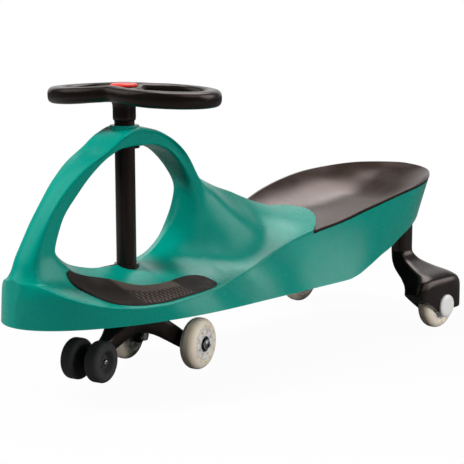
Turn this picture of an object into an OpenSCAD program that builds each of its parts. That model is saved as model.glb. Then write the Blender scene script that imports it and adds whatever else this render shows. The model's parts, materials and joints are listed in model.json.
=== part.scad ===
/* [Body] */
// Length of the moulded body, nose to tail
body_length = 789; // [750:1:828]
// Greatest width of the body, at its lower edge
body_width = 252; // [242:1:262]
// Height of the arch top above the floor
arch_height = 334; // [322:1:346]
// Height of the body's lower edge above the floor
body_clearance = 102; // [98:1:106]
// Reach of the nose ahead of the steering column
nose_reach = 189; // [184:1:194]
// Width across the arch band at its head
arch_width = 56; // [50:1:60]
// Wall of the moulded shell
shell_wall = 4; // [3:0.25:5]
// Radius of the crease round the top of the skirt
crease_radius = 3; // [2:0.5:4]

/* [Seat and foot pads] */
// Depth of the seat bowl below its rim
seat_depth = 46; // [40:1:50]
// Thickness of the seat moulding
seat_thickness = 4; // [3:0.25:5]
// Width of the body rim left bare round the seat
seat_rim = 5; // [4:0.5:6]
// Reach of the body's tongue into the seat
tongue_length = 88; // [80:1:96]
// Thickness of a foot pad
pad_thickness = 3; // [2.5:0.25:4]
// Depth of the recess that a foot pad lies in
pad_recess = 1.5; // [1:0.25:2]

/* [Steering] */
// Steering angle in which the car is drawn, to the left
steer_angle = 14; // [-30:1:30]
// Diameter of the steering column
column_d = 26; // [24:0.5:28]
// Width across the steering wheel
grip_width = 244; // [232:1:260]
// Width of the steering wheel's rim section
rim_width = 24; // [22:0.5:26]
// Height of the steering wheel's rim section
rim_height = 18; // [16:0.5:20]
// Height of the steering wheel's hub above the arch
hub_height = 49; // [46:0.5:52]
// Diameter of the hub cap
hub_cap_d = 35; // [33:0.5:38]
// Wall of the column bushes
bush_wall = 3; // [2.5:0.25:3.5]

/* [Wheels] */
// Diameter of the four running wheels
tyre_d = 70; // [66:0.5:74]
// Width of the four running wheels
tyre_w = 24; // [22:0.5:26]
// Diameter of the wheel core inside the tyre
core_d = 42; // [40:0.5:44]
// Outer diameter of a ball bearing
bearing_d = 22; // [20:0.5:24]
// Width of a ball bearing
bearing_w = 7; // [6:0.5:8]
// Diameter of every axle
axle_d = 8; // [7:0.25:9]
// Distance from the tail forward to the rear axle
rear_overhang = 93; // [88:1:98]
// Distance between the rear wheels
rear_track = 270; // [266:1:274]
// Distance between the front running wheels
front_track = 115; // [112:1:120]
// Trail of the front running wheels behind the column
front_trail = 84; // [78:1:90]
// Diameter of the two stabiliser wheels
stabiliser_d = 53; // [49:0.5:56]
// Width of a stabiliser wheel
stabiliser_w = 20; // [18:0.5:22]
// Distance between the stabiliser wheels
stabiliser_track = 36; // [35:0.5:40]
// Lead of the stabiliser wheels ahead of the column
stabiliser_lead = 89; // [84:1:95]
// Clearance of the stabiliser wheels above the floor
stabiliser_lift = 19; // [15:0.5:22]

/* [Truck and legs] */
// Diameter of the truck's column hub
truck_hub_d = 44; // [42:0.5:48]
// Height of a truck arm's section
arm_height = 22; // [20:0.5:24]
// Thickness of a truck arm
arm_thickness = 14; // [12:0.5:15]
// Wall of the rear legs beside the wheel
leg_wall = 4; // [3.5:0.25:5]
// Side gap between a rear wheel and its leg
leg_gap = 2.5; // [2:0.25:3]
// Length of the leg column, front to back
leg_length = 30; // [28:0.5:33]
// Thickness of the leg column, side to side
leg_thickness = 24; // [22:0.5:25]
// Diameter of the axle cap on a rear leg
axle_cap_d = 34; // [32:0.5:36]
// Thickness of the axle cap
axle_cap_h = 5.5; // [5:0.5:7]

/* [Hidden] */

// Clearances: fixed fits, running fits, faces that pass each other, and the overrun of cuts
fit_gap = 0.1;
running_gap = 0.04;
side_gap = 0.3;
overrun = 1;

green = [0.0, 0.55, 0.48];
black = [0.08, 0.07, 0.07];
red = [0.85, 0.12, 0.08];
cream = [0.93, 0.84, 0.72];
white = [0.95, 0.95, 0.93];
steel = [0.75, 0.76, 0.78];

// The body is drawn in shares of its length from the nose and of its rise above the lower edge
body_rise = arch_height - body_clearance;
column_x = body_length / 2 - nose_reach;

// Length shares of the rounded nose and tail in plan
nose_share = 0.35;
tail_share = 0.175;
// Half width of the crease, in shares of the plan outline
crease_width_shares = [
    [0, 0.85], [0.004, 0.86], [0.009, 0.79], [0.014, 0.72], [0.0185, 0.72], [0.0215, 0.81], [0.033, 0.955],
    [0.0545, 0.99], [0.13, 1], [0.165, 0.995], [0.24, 0.937], [0.29, 0.886], [0.34, 0.81], [0.384, 0.73],
    [0.43, 0.667], [0.48, 0.65], [0.53, 0.675], [0.582, 0.722], [0.632, 0.778], [0.683, 0.833],
    [0.734, 0.88], [0.79, 0.894], [0.886, 0.875], [1, 0.89]
];
// Half width of the lower edge, in shares of the plan outline
lower_width_shares = [[0, 1], [0.6, 1], [0.7, 0.95], [0.8, 0.86], [0.9, 0.76], [1, 0.62]];
// Height of the lower edge
lower_height_shares = [
    [0, 0], [0.63, 0], [0.66, 0.012], [0.7, 0.05], [0.742, 0.095], [0.773, 0.12], [0.823, 0.18],
    [0.876, 0.23], [1, 0.34]
];
// Height of the crease between skirt and tray, which becomes the seat rim
crease_height_shares = [
    [0, 0.12], [0.004, 0.17], [0.009, 0.22], [0.014, 0.275], [0.0185, 0.3], [0.0215, 0.25], [0.033, 0.197],
    [0.0545, 0.16], [0.09, 0.12], [0.1255, 0.098], [0.165, 0.088], [0.2, 0.088], [0.244, 0.097],
    [0.31, 0.106], [0.366, 0.124], [0.424, 0.148], [0.491, 0.217], [0.546, 0.279], [0.585, 0.312],
    [0.643, 0.35], [0.714, 0.414], [0.788, 0.468], [0.846, 0.502], [0.916, 0.534], [0.967, 0.556], [1, 0.565]
];
// Height of the middle line: nose, foot of the front pillar, tray hump, saddle and tongue
ridge_height_shares = [
    [0, 0.12], [0.004, 0.18], [0.009, 0.235], [0.014, 0.29], [0.019, 0.345], [0.036, 0.44],
    [0.053, 0.45], [0.065, 0.43], [0.0786, 0.38], [0.094, 0.33], [0.113, 0.285], [0.138, 0.255],
    [0.17, 0.233], [0.208, 0.226], [0.262, 0.226], [0.286, 0.25], [0.31, 0.3], [0.329, 0.36],
    [0.347, 0.43], [0.36, 0.53], [0.373, 0.63], [0.387, 0.69], [0.402, 0.69], [0.426, 0.64],
    [0.451, 0.595], [0.489, 0.54], [0.528, 0.48], [0.568, 0.42], [0.608, 0.365], [0.65, 0.32],
    [0.7, 0.29], [1, 0.29]
];
// Half width of the fin under the pillars, in shares of the arch width
fin_width_shares = [
    [0, 0.5], [0.014, 0.45], [0.019, 0.43], [0.036, 0.4], [0.06, 0.38], [0.1, 0.42], [0.3, 0.48],
    [0.37, 0.55], [0.4, 0.64], [0.43, 0.8], [0.49, 1], [1, 1.2]
];
// Share of the middle line's rise that spreads over the whole flank
flank_shares = [
    [0, 1], [0.014, 1], [0.019, 0.5], [0.03, 0.4], [0.08, 0.5], [0.11, 0.8], [0.14, 1], [0.3, 1],
    [0.345, 0.75], [0.376, 0.45], [0.404, 0.4], [0.43, 0.5], [0.49, 0.8], [0.53, 1], [1, 1]
];
fin_power = 6;
flank_power = 1.5;
// Depth of the seat bowl, its fullness, and where the saddle gives way to it
bowl_depth_shares = [
    [0, 0.4], [0.5, 0.4], [0.61, 0.62], [0.672, 0.76], [0.735, 0.9], [0.811, 1], [0.886, 0.9],
    [0.95, 0.5], [1, 0.12]
];
bowl_power = 3;
bowl_start_share = 0.63;
bowl_end_share = 0.68;

// Numbers of stations along the body and of points across it
nose_stations = 10;
middle_stations = 26;
rear_stations = 14;
tail_stations = 8;
wall_points = 3;
flank_points = 5;
fin_points = 8;
hollow_flank_points = 3;
hollow_fin_points = 4;
hollow_step = 2;
first_share = 0.0002;
hollow_start_share = 0.02;
hollow_end_share = 0.012;
seat_lead_share = 0.03;
roof_share = 0.8;
nose_end_share = 0.1;
middle_end_share = 0.45;
rear_end_share = 0.86;
fin_foot_share = 1.6;
fin_limit_share = 0.45;

function clamp(v, low, high) = max(low, min(high, v));
function mix(a, b, t) = a + (b - a) * t;
function smooth(a, b, x) = let (t = clamp((x - a) / (b - a), 0, 1)) t * t * (3 - 2 * t);

// A curve through the points of a table that doesn't overshoot them
function rate(t, i) = (t[i + 1][1] - t[i][1]) / (t[i + 1][0] - t[i][0]);
function blend_rate(a, b) = a * b <= 0 ? 0 : 2 * a * b / (a + b);
function slope(t, i) =
    i == 0 ? rate(t, 0) :
    i == len(t) - 1 ? rate(t, i - 1) :
    blend_rate(rate(t, i - 1), rate(t, i));
function span(t, x, i = 0) = i >= len(t) - 2 || x < t[i + 1][0] ? i : span(t, x, i + 1);
function curve(t, x) =
    let (
        i = span(t, x),
        h = t[i + 1][0] - t[i][0],
        u = (x - t[i][0]) / h,
        v = 1 - u
    )
    t[i][1] * v * v * (1 + 2 * u) + t[i + 1][1] * u * u * (1 + 2 * v)
    + h * u * v * (slope(t, i) * v - slope(t, i + 1) * u);

function body_x(s) = nose_reach - body_length * s;
function share_at(x) = (nose_reach - x) / body_length;
function plan(s) =
    s < nose_share ? sqrt(1 - pow((nose_share - s) / nose_share, 2)) :
    s > 1 - tail_share ? sqrt(max(0, 1 - pow((s - 1 + tail_share) / tail_share, 2))) :
    1;
function half_width(s, shares) = body_width / 2 * plan(s) * curve(shares, s);
function crease_half(s) = half_width(s, crease_width_shares);
function lower_half(s) = half_width(s, lower_width_shares);
function height(s, shares) = body_clearance + body_rise * curve(shares, s);
function crease_z(s) = height(s, crease_height_shares);
function fin_half(s) = arch_width * curve(fin_width_shares, s);

// Height of the saddle, tray and nose: a fin in the middle on a flank that falls to the crease
function ridge_rise(s) = height(s, ridge_height_shares) - crease_z(s);
function flank_z(s, y) = curve(flank_shares, s) * pow(1 - min(1, abs(y) / crease_half(s)), flank_power);
function saddle_z(s, y) =
    let (
        edge = min(1, abs(y) / crease_half(s)),
        fin = (1 - pow(edge, fin_power)) / (1 + pow(abs(y) / fin_half(s), fin_power))
    )
    crease_z(s) + ridge_rise(s) * ((1 - curve(flank_shares, s)) * fin + flank_z(s, y));
// Height of the seat: a bowl that is flat in the middle and climbs to the rim
function bowl_z(s, y) =
    let (a = min(1, abs(y) / crease_half(s)))
    crease_z(s) - seat_depth * curve(bowl_depth_shares, s) * (1 - pow(a, bowl_power));
function top_z(s, y) = mix(saddle_z(s, y), bowl_z(s, y), smooth(bowl_start_share, bowl_end_share, s));
// Height of the hollow's roof, which leaves the pillars' feet solid and passes below the seat's recess
function roof_z(s, y) =
    let (
        seat_below = smooth(tongue_side_share - seat_lead_share, tongue_side_share, s),
        saddle = crease_z(s) + max(0, ridge_rise(s)) * roof_share * flank_z(s, y)
    )
    mix(saddle, bowl_z(s, y) - seat_thickness - fit_gap, seat_below) - shell_wall;

stations = concat(
    [for (k = [0:nose_stations - 1]) first_share + nose_end_share * pow(k / nose_stations, 2)],
    [for (k = [0:middle_stations - 1]) mix(nose_end_share, middle_end_share, k / middle_stations)],
    [for (k = [0:rear_stations - 1]) mix(middle_end_share, rear_end_share, k / rear_stations)],
    [for (k = [0:tail_stations]) 1 - first_share - (1 - rear_end_share) * pow(1 - k / tail_stations, 2)]
);

hollow_within = [for (s = stations) if (s > hollow_start_share && s < 1 - hollow_end_share) s];
hollow_stations = [for (k = [0:len(hollow_within) - 1])
    if (k % hollow_step == 0 || k == len(hollow_within) - 1) hollow_within[k]];

// Distances from the middle line at which a section is drawn, closest where the fin is steep
function across(s, w, flank_count, fin_count) =
    let (foot = fin_foot_share * min(fin_half(s), fin_limit_share * w))
    concat(
        [for (j = [0:flank_count - 1]) mix(w, foot, j / flank_count)],
        [for (j = [0:fin_count]) mix(foot, 0, j / fin_count)]
    );
function mirrored(half) =
    concat([for (p = half) [p[0], -p[1], p[2]]], [for (j = [len(half) - 2:-1:0]) half[j]]);

function outer_section(s) =
    let (
        x = body_x(s),
        w = crease_half(s),
        r = min(crease_radius, w / 2),
        z = crease_z(s)
    )
    mirrored(concat(
        [for (k = [0:wall_points]) let (low = min(height(s, lower_height_shares), z - 2 * r))
            [x, mix(lower_half(s), w, k / wall_points), mix(low, z - r, k / wall_points)]],
        [for (y = across(s, w - r, flank_points, fin_points)) [x, y, top_z(s, y)]]
    ));
function inner_section(s) =
    let (
        x = body_x(s),
        w = crease_half(s) - shell_wall,
        low = body_clearance - arch_width
    )
    mirrored(concat(
        [[x, lower_half(s) - shell_wall, low],
            [x, lower_half(s) - shell_wall, height(s, lower_height_shares)]],
        [for (y = across(s, w - crease_radius, hollow_flank_points, hollow_fin_points))
            [x, y, max(low + overrun, roof_z(s, y))]]
    ));

// Closes a row of sections into one solid. Each is a loop of equally many points,
// clockwise for someone who looks from the first section to the last.
// Each four-sided patch is split along its shorter diagonal.
function split(q, i, j, m, n) =
    let (a = i * n + j, b = i * n + m, c = a + n, d = b + n)
    norm(q[i][j] - q[i + 1][m]) < norm(q[i][m] - q[i + 1][j]) ?
        [[a, c, d], [a, d, b]] :
        [[a, c, b], [b, c, d]];
module loft(sections) {
    rows = len(sections);
    n = len(sections[0]);
    polyhedron(
        points = [for (section = sections) for (p = section) p],
        faces = concat(
            [[for (j = [0:n - 1]) j], [for (j = [n - 1:-1:0]) (rows - 1) * n + j]],
            [for (i = [0:rows - 2]) for (j = [0:n - 1]) for (f = split(sections, i, j, (j + 1) % n, n)) f]
        ),
        convexity = 10
    );
}

// Rows of the arch, front to back: outer and inner edge, and half width.
// Lengths are shares of the nose's reach, heights of the arch's height, widths of the arch's width.
arch_shares = [
    [0.915, 0.46, 0.74, 0.43, 0.28],
    [0.912, 0.545, 0.73, 0.53, 0.4],
    [0.849, 0.617, 0.693, 0.59, 0.34],
    [0.728, 0.716, 0.608, 0.677, 0.3],
    [0.566, 0.819, 0.487, 0.766, 0.36],
    [0.423, 0.88, 0.376, 0.835, 0.43],
    [0.27, 0.925, 0.238, 0.892, 0.48],
    [0.13, 0.975, 0.11, 0.917, 0.5],
    [0, 1, -0.02, 0.92, 0.5],
    [-0.15, 0.987, -0.16, 0.917, 0.49],
    [-0.295, 0.953, -0.29, 0.895, 0.48],
    [-0.43, 0.9, -0.4, 0.85, 0.47],
    [-0.54, 0.835, -0.49, 0.785, 0.46],
    [-0.645, 0.755, -0.555, 0.71, 0.44],
    [-0.76, 0.66, -0.62, 0.62, 0.36]
];
arch_head_row = 8;
arch_steps = 2;
arch_points = 16;
arch_collar_d = 38;
arch_power_share = 0.6;

function arch_row(u) =
    let (
        i = min(len(arch_shares) - 2, floor(u)),
        scale = [nose_reach, arch_height, nose_reach, arch_height, arch_width]
    )
    [for (c = [0:len(scale) - 1])
        scale[c] * curve([for (k = [0:len(arch_shares) - 1]) [k, arch_shares[k][c]]], u)];
function rounded(v) = sign(v) * pow(abs(v), arch_power_share);
function arch_section(u) =
    let (
        row = arch_row(u),
        outer = [row[0], 0, row[1]],
        inner = [row[2], 0, row[3]],
        middle = (outer + inner) / 2,
        up = (outer - inner) / 2
    )
    [for (k = [0:arch_points - 1]) let (a = -360 * k / arch_points)
        middle + up * rounded(sin(a)) + [0, row[4] * rounded(cos(a)), 0]];

// Plan outline of the seat: along the rim, round the tail and back round the tongue
tongue_side_share = 0.557;
tongue_power = 2;
seat_points = 18;
tongue_points = 12;
function seat_share(k) = mix(tongue_side_share, 1 - seat_rim / body_length,
    1 - pow(1 - k / seat_points, 2));
function seat_half(s) = max(0, crease_half(min(1, s + seat_rim / body_length)) - seat_rim);
tongue_half = seat_half(tongue_side_share);
seat_side = [for (k = [0:seat_points]) [body_x(seat_share(k)), seat_half(seat_share(k))]];
tongue_side = [for (k = [1:tongue_points - 1]) let (a = k / tongue_points)
    [body_x(tongue_side_share) - tongue_length * (1 - pow(abs(1 - 2 * a), tongue_power)),
        -tongue_half * (1 - 2 * a)]];
seat_outline = concat(
    seat_side,
    [for (k = [seat_points - 1:-1:0]) [seat_side[k][0], -seat_side[k][1]]],
    tongue_side
);
seat_run = body_x(tongue_side_share) - body_x(1 - seat_rim / body_length);
seat_rows = 16;
seat_columns = 12;

// A slab that follows the seat, from one height above it to another
module seat_slab(low, high) {
    first = tongue_side_share - seat_lead_share;
    loft([for (i = [0:seat_rows]) let (s = mix(first, 1, 1 - pow(1 - i / seat_rows, 2)), w = body_width / 2)
        concat(
            [for (j = [0:seat_columns]) let (y = mix(-w, w, j / seat_columns))
                [body_x(s), y, bowl_z(s, y) + high]],
            [for (j = [seat_columns:-1:0]) let (y = mix(-w, w, j / seat_columns))
                [body_x(s), y, bowl_z(s, y) + low]]
        )]);
}

// Edges of a foot pad, in shares of the crease's half width, between its front and rear tips
pad_inner_shares = [
    [0.0865, 0.27], [0.1, 0.21], [0.125, 0.19], [0.15, 0.2], [0.17, 0.24], [0.185, 0.33], [0.2, 0.42],
    [0.22, 0.485], [0.247, 0.52], [0.272, 0.52], [0.293, 0.54], [0.312, 0.6], [0.325, 0.69], [0.332, 0.86]
];
pad_outer_shares = [
    [0.0865, 0.3], [0.0937, 0.4], [0.1036, 0.58], [0.1146, 0.78], [0.1268, 0.865], [0.157, 0.915],
    [0.19, 0.935], [0.25, 0.94], [0.31, 0.94], [0.325, 0.93], [0.332, 0.89]
];
pad_rows = 20;
pad_columns = 5;

// A foot pad's form, grown sideways by a margin, from one height above the tray to another
module pad_form(margin, low, high) {
    first = pad_inner_shares[0][0] - margin / body_length;
    last = pad_inner_shares[len(pad_inner_shares) - 1][0] + margin / body_length;
    loft([for (i = [0:pad_rows]) let (
            s = mix(first, last, (1 - cos(180 * i / pad_rows)) / 2),
            inner = crease_half(s) * curve(pad_inner_shares, s) - margin,
            outer = crease_half(s) * curve(pad_outer_shares, s) + margin,
            ys = [for (j = [0:pad_columns]) mix(inner, outer, j / pad_columns)]
        )
        concat(
            [for (y = ys) [body_x(s), y, top_z(s, y) + high]],
            [for (j = [pad_columns:-1:0]) [body_x(s), ys[j], top_z(s, ys[j]) + low]]
        )]);
}

// Heights on the steering column
hub_top_z = arch_height + hub_height;
rim_drop = 1.5;
rim_z = hub_top_z - rim_drop - rim_height / 2;
boss_gap = 4.5;
boss_z = arch_height + boss_gap;
boss_d = 34;
tray_z = top_z(share_at(0), 0);
arch_under_z = arch_row(arch_head_row)[3];
bush_flange = 2.5;
bush_d = column_d + 2 * (running_gap + bush_wall);
bush_lip = 3;
bush_flange_d = bush_d + 2 * bush_lip;
bearing_boss_wall = 6;
bearing_boss_d = bush_d + 2 * bearing_boss_wall;
bearing_boss_lift = 16;
bearing_boss_z = body_clearance + bearing_boss_lift;
bearing_boss_sink = 9;
truck_top_z = bearing_boss_z - bush_flange - side_gap;
truck_low_z = 63;
column_low_z = truck_low_z + overrun;
column_stop = 16;
column_top_z = hub_top_z - column_stop;

// Places of the rear legs and of the ribs that hold them
rear_x = nose_reach + rear_overhang - body_length;
rear_y = rear_track / 2;
axle_z = tyre_d / 2;
leg_front = 65;
leg_rear = -47;
leg_column_front = 23;
leg_half = tyre_w / 2 + leg_gap + leg_wall;
leg_plug_share = 0.302;
leg_top_z = body_clearance + body_rise * leg_plug_share;
rib_wall = shell_wall;
leg_inset = 62;
leg_inner_y = body_width / 2 - leg_inset;
rib_lift_share = 0.2155;
rib_low_z = body_clearance + body_rise * rib_lift_share;
screw_d = 5;
screw_head_d = 10;
screw_head_h = 3;
screw_length = 22;
screw_z = (rib_low_z + leg_top_z) / 2;
screw_pitch_share = 0.5;

module at_column() {
    translate([column_x, 0, 0]) children();
}

module steered() {
    at_column() rotate([0, 0, steer_angle]) children();
}

// A round bar or hole from one height to another on the column's line
module post(d, low, high, sides = 48) {
    translate([0, 0, low]) cylinder(d = d, h = high - low, $fn = sides);
}

// A round bar or hole along Y from one place to another
module bar(d, low, high, sides = 48) {
    translate([0, low, 0]) rotate([-90, 0, 0]) cylinder(d = d, h = high - low, $fn = sides);
}

module both_sides() {
    children();
    mirror([0, 1, 0]) children();
}

module body_skin() {
    difference() {
        union() {
            difference() {
                union() {
                    loft([for (s = stations) outer_section(s)]);
                    loft([for (k = [0:arch_steps * (len(arch_shares) - 1)]) arch_section(k / arch_steps)]);
                    post(arch_collar_d, arch_under_z + overrun, arch_height);
                }
                loft([for (s = hollow_stations) inner_section(s)]);
            }
            post(bearing_boss_d, bearing_boss_z, tray_z - bearing_boss_sink);
            intersection() {
                loft([for (s = stations) outer_section(s)]);
                both_sides() leg_rib();
            }
        }
        intersection() {
            translate([0, 0, body_clearance]) linear_extrude(height = body_rise) offset(delta = fit_gap)
                polygon(seat_outline);
            seat_slab(-seat_thickness - fit_gap, body_rise);
        }
        both_sides() pad_form(fit_gap, -pad_recess, pad_thickness);
    }
}
skin_run = body_length * (1 - 2 * first_share);

module leg_rib() {
    translate([rear_x + leg_column_front - leg_length - rib_wall, leg_inner_y - fit_gap - rib_wall,
        rib_low_z])
        cube([leg_length + 2 * rib_wall, rib_wall, body_rise]);
}

module body_shell() {
    color(green) at_column() difference() {
        resize([skin_run, 0, 0]) body_skin();
        post(bush_d + 2 * fit_gap, arch_under_z - arch_width, arch_height + overrun);
        post(bush_flange_d + 2 * fit_gap, arch_under_z - arch_width, arch_under_z);
        post(bush_d + 2 * fit_gap, bearing_boss_z - overrun, tray_z + overrun);
        both_sides() leg_screw_places() bar(screw_d + 2 * fit_gap, leg_inner_y - leg_thickness,
            leg_inner_y);
    }
}

module seat() {
    color(black) at_column() resize([seat_run, 0, 0]) intersection() {
        translate([0, 0, body_clearance]) linear_extrude(height = body_rise) polygon(seat_outline);
        seat_slab(-seat_thickness, 0);
    }
}

module foot_pad() {
    pad_form(0, -pad_recess + fit_gap, pad_thickness - pad_recess);
}

module foot_pad_left() {
    color(black) at_column() foot_pad();
}

module foot_pad_right() {
    color(black) at_column() mirror([0, 1, 0]) foot_pad();
}

module upper_bush() {
    color(black) at_column() difference() {
        union() {
            post(bush_d, arch_under_z - bush_flange, arch_height);
            post(bush_flange_d, arch_under_z - bush_flange, arch_under_z - fit_gap);
        }
        post(column_d + 2 * running_gap, 0, hub_top_z);
    }
}

module lower_bush() {
    color(black) at_column() difference() {
        union() {
            post(bush_d, bearing_boss_z - bush_flange, tray_z);
            post(bush_flange_d, bearing_boss_z - bush_flange, bearing_boss_z);
        }
        post(column_d + 2 * running_gap, 0, hub_top_z);
    }
}

bolt_d = 10;
bolt_head_d = 17;
bolt_head_h = 6;
washer_d = 21;
washer_h = 1.5;
bolt_reach = 36;
bolt_web = 4;
bolt_seat_z = column_top_z + bolt_web;
cap_plug_h = 4;
cap_h = 5;
pin_d = 6;
pin_z = (truck_low_z + truck_top_z) / 2;

module steering_column() {
    color(black) steered() difference() {
        post(column_d, column_low_z, column_top_z);
        post(bolt_d + 2 * fit_gap, bolt_seat_z - bolt_reach - overrun, column_top_z + overrun);
        translate([0, 0, pin_z]) bar(pin_d + 2 * fit_gap, -truck_hub_d, truck_hub_d);
    }
}

// The rim's middle line is a bow-tie: two lobes joined by notches before and behind the hub
notch_front = 34;
notch_rear = 40;
lobe_back = 23;
rim_steps = 48;
rim_points = 12;
rim_power_share = 0.8;
function bow(a) =
    let (
        reach = (grip_width - rim_width) / 2,
        notch = sin(a) > 0 ? notch_front : notch_rear,
        r = reach * cos(a) * cos(a) + notch * sin(a) * sin(a)
    )
    [r * sin(a) - lobe_back * cos(a) * cos(a), r * cos(a), rim_z];
function soft(v) = sign(v) * pow(abs(v), rim_power_share);
function rim_section(k) =
    let (
        a = 360 * k / rim_steps,
        ahead = bow(a + 180 / rim_steps) - bow(a - 180 / rim_steps),
        out = [ahead[1], -ahead[0], 0] / norm(ahead)
    )
    [for (j = [0:rim_points - 1]) let (t = 360 * j / rim_points)
        bow(a) + out * rim_width / 2 * soft(cos(t)) + [0, 0, rim_height / 2 * soft(sin(t))]];

// Closes a ring of sections into one solid
module ring_loft(sections) {
    rows = len(sections);
    n = len(sections[0]);
    polyhedron(
        points = [for (section = sections) for (p = section) p],
        faces = [for (i = [0:rows - 1]) for (j = [0:n - 1])
            let (a = i * n, b = ((i + 1) % rows) * n, m = (j + 1) % n)
            for (f = [[a + j, a + m, b + j], [b + j, a + m, b + m]]) f],
        convexity = 6
    );
}

module steering_wheel() {
    color(black) steered() difference() {
        union() {
            ring_loft([for (k = [0:rim_steps - 1]) rim_section(k)]);
            rotate_extrude($fn = 64) polygon([
                [0, boss_z], [boss_d / 2, boss_z], [boss_d / 2, rim_z - rim_height / 2],
                [notch_front, rim_z - rim_height / 4], [notch_front, rim_z + rim_height / 4],
                [hub_cap_d / 2 + overrun, hub_top_z], [0, hub_top_z]
            ]);
        }
        post(column_d + 2 * fit_gap, boss_z - overrun, column_top_z + fit_gap);
        post(bolt_d + 2 * fit_gap, column_top_z - overrun, hub_top_z);
        post(washer_d + 2 * fit_gap, bolt_seat_z, hub_top_z + overrun);
    }
}

module column_bolt() {
    color(steel) steered() {
        post(bolt_d, bolt_seat_z - bolt_reach, bolt_seat_z + washer_h + fit_gap + overrun);
        post(bolt_head_d, bolt_seat_z + washer_h + fit_gap, bolt_seat_z + washer_h + bolt_head_h, 6);
    }
}

module column_washer() {
    color(steel) steered() difference() {
        post(washer_d, bolt_seat_z, bolt_seat_z + washer_h);
        post(bolt_d + 2 * fit_gap, bolt_seat_z - overrun, bolt_seat_z + washer_h + overrun);
    }
}

module hub_cap() {
    color(red) steered() {
        translate([0, 0, hub_top_z]) rotate_extrude($fn = 64) polygon([
            [0, 0], [hub_cap_d / 2, 0], [hub_cap_d / 2, cap_h / 2],
            [hub_cap_d / 2 - cap_h / 2, cap_h], [0, cap_h]
        ]);
        post(washer_d, hub_top_z - cap_plug_h + overrun, hub_top_z + overrun);
    }
}

// Front truck: a hub on the column, and two arms from the stabiliser axle back to the running wheels
stabiliser_z = stabiliser_lift + stabiliser_d / 2;
stem_w = stabiliser_track - stabiliser_w - 2 * side_gap;
knuckle_height = 30;
stem_share = 0.5;
neck_share = 0.45;
arm_mid_y = truck_hub_d / 2;
front_boss_d = arm_height;
front_boss_out = front_track / 2 - tyre_w / 2 - side_gap;
front_boss_in = front_boss_out - arm_thickness;
knuckle_d = arm_thickness;
nut_d = 14;
nut_h = 6.5;
head_d = 14;
head_h = 4;

module arm_knuckle(share) {
    translate([0, arm_mid_y - arm_thickness / 2, 0]) post(knuckle_d, truck_low_z,
        truck_low_z + knuckle_height * share, 32);
}

// The stem stays narrow until it has passed the stabiliser wheels
neck_x = stabiliser_lead - (stabiliser_d + arm_height) / 2 - side_gap;
neck_z = mix(stabiliser_z, truck_low_z, neck_share);

module stem_bar(x, z) {
    translate([x, 0, z]) bar(arm_height, -stem_w / 2, stem_w / 2, 32);
}

module truck_stem() {
    hull() {
        stem_bar(stabiliser_lead, stabiliser_z);
        stem_bar(neck_x, neck_z);
    }
}

module truck_arm() {
    hull() {
        stem_bar(neck_x, neck_z);
        arm_knuckle(stem_share);
    }
    hull() {
        arm_knuckle(1);
        translate([-front_trail, 0, axle_z]) bar(front_boss_d, front_boss_in, front_boss_out, 32);
    }
}

module front_truck() {
    color(black) steered() difference() {
        union() {
            post(truck_hub_d, truck_low_z, truck_top_z);
            truck_stem();
            both_sides() truck_arm();
        }
        post(column_d + 2 * fit_gap, column_low_z - fit_gap, truck_top_z + overrun);
        translate([0, 0, pin_z]) bar(pin_d + 2 * fit_gap, -truck_hub_d, truck_hub_d);
        translate([stabiliser_lead, 0, stabiliser_z]) bar(axle_d + 2 * fit_gap, -stabiliser_track,
            stabiliser_track);
        translate([-front_trail, 0, axle_z]) {
            bar(axle_d + 2 * fit_gap, -front_track, front_track);
            bar(nut_d + 2 * side_gap, -front_boss_in, front_boss_in);
        }
    }
}

module column_pin() {
    color(steel) steered() translate([0, 0, pin_z]) bar(pin_d, -truck_hub_d / 2, truck_hub_d / 2);
}

// Running wheel, drawn at the origin with its axle along Y
groove_share = 0.25;
core_rib = 4;
rib_d = core_d + 2 * core_rib;
tyre_round = 7;
core_inset = 1;
slot_count = 8;
slot_d = 6;
slot_circle_d = (core_d + bearing_d) / 2;
bearing_lip = 2;

module turned() {
    rotate([-90, 0, 0]) rotate_extrude($fn = 64) children();
}

module tyre_profile() {
    difference() {
        hull() {
            translate([core_d / 2 + fit_gap, -tyre_w / 2 + core_inset])
                square([overrun, tyre_w - 2 * core_inset]);
            for (side = [-1, 1]) translate([tyre_d / 2 - tyre_round, side * (tyre_w / 2 - tyre_round)])
                circle(r = tyre_round, $fn = 32);
        }
        translate([0, -tyre_w * groove_share / 2 - fit_gap])
            square([rib_d / 2 + fit_gap, tyre_w * groove_share + 2 * fit_gap]);
    }
}

module wheel_tyre() {
    color(cream) turned() tyre_profile();
}

module wheel_hub() {
    color(white) difference() {
        turned() polygon([
            [bearing_d / 2 - bearing_lip, -tyre_w / 2 + bearing_w],
            [bearing_d / 2 + fit_gap, -tyre_w / 2 + bearing_w], [bearing_d / 2 + fit_gap, -tyre_w / 2],
            [core_d / 2, -tyre_w / 2], [core_d / 2, -tyre_w * groove_share / 2],
            [rib_d / 2, -tyre_w * groove_share / 2], [rib_d / 2, tyre_w * groove_share / 2],
            [core_d / 2, tyre_w * groove_share / 2], [core_d / 2, tyre_w / 2],
            [bearing_d / 2 + fit_gap, tyre_w / 2], [bearing_d / 2 + fit_gap, tyre_w / 2 - bearing_w],
            [bearing_d / 2 - bearing_lip, tyre_w / 2 - bearing_w]
        ]);
        for (k = [0:slot_count - 1]) rotate([0, 360 * k / slot_count, 0])
            translate([slot_circle_d / 2, 0, 0]) bar(slot_d, -tyre_w, tyre_w, 24);
    }
}

module wheel_bearings() {
    color(steel) for (side = [-1, 1]) translate([0, side * (tyre_w - bearing_w) / 2, 0]) difference() {
        bar(bearing_d, -bearing_w / 2, bearing_w / 2);
        bar(axle_d + 2 * running_gap, -bearing_w, bearing_w);
    }
}

module front_place(side) {
    steered() translate([-front_trail, side * front_track / 2, axle_z]) children();
}

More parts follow.
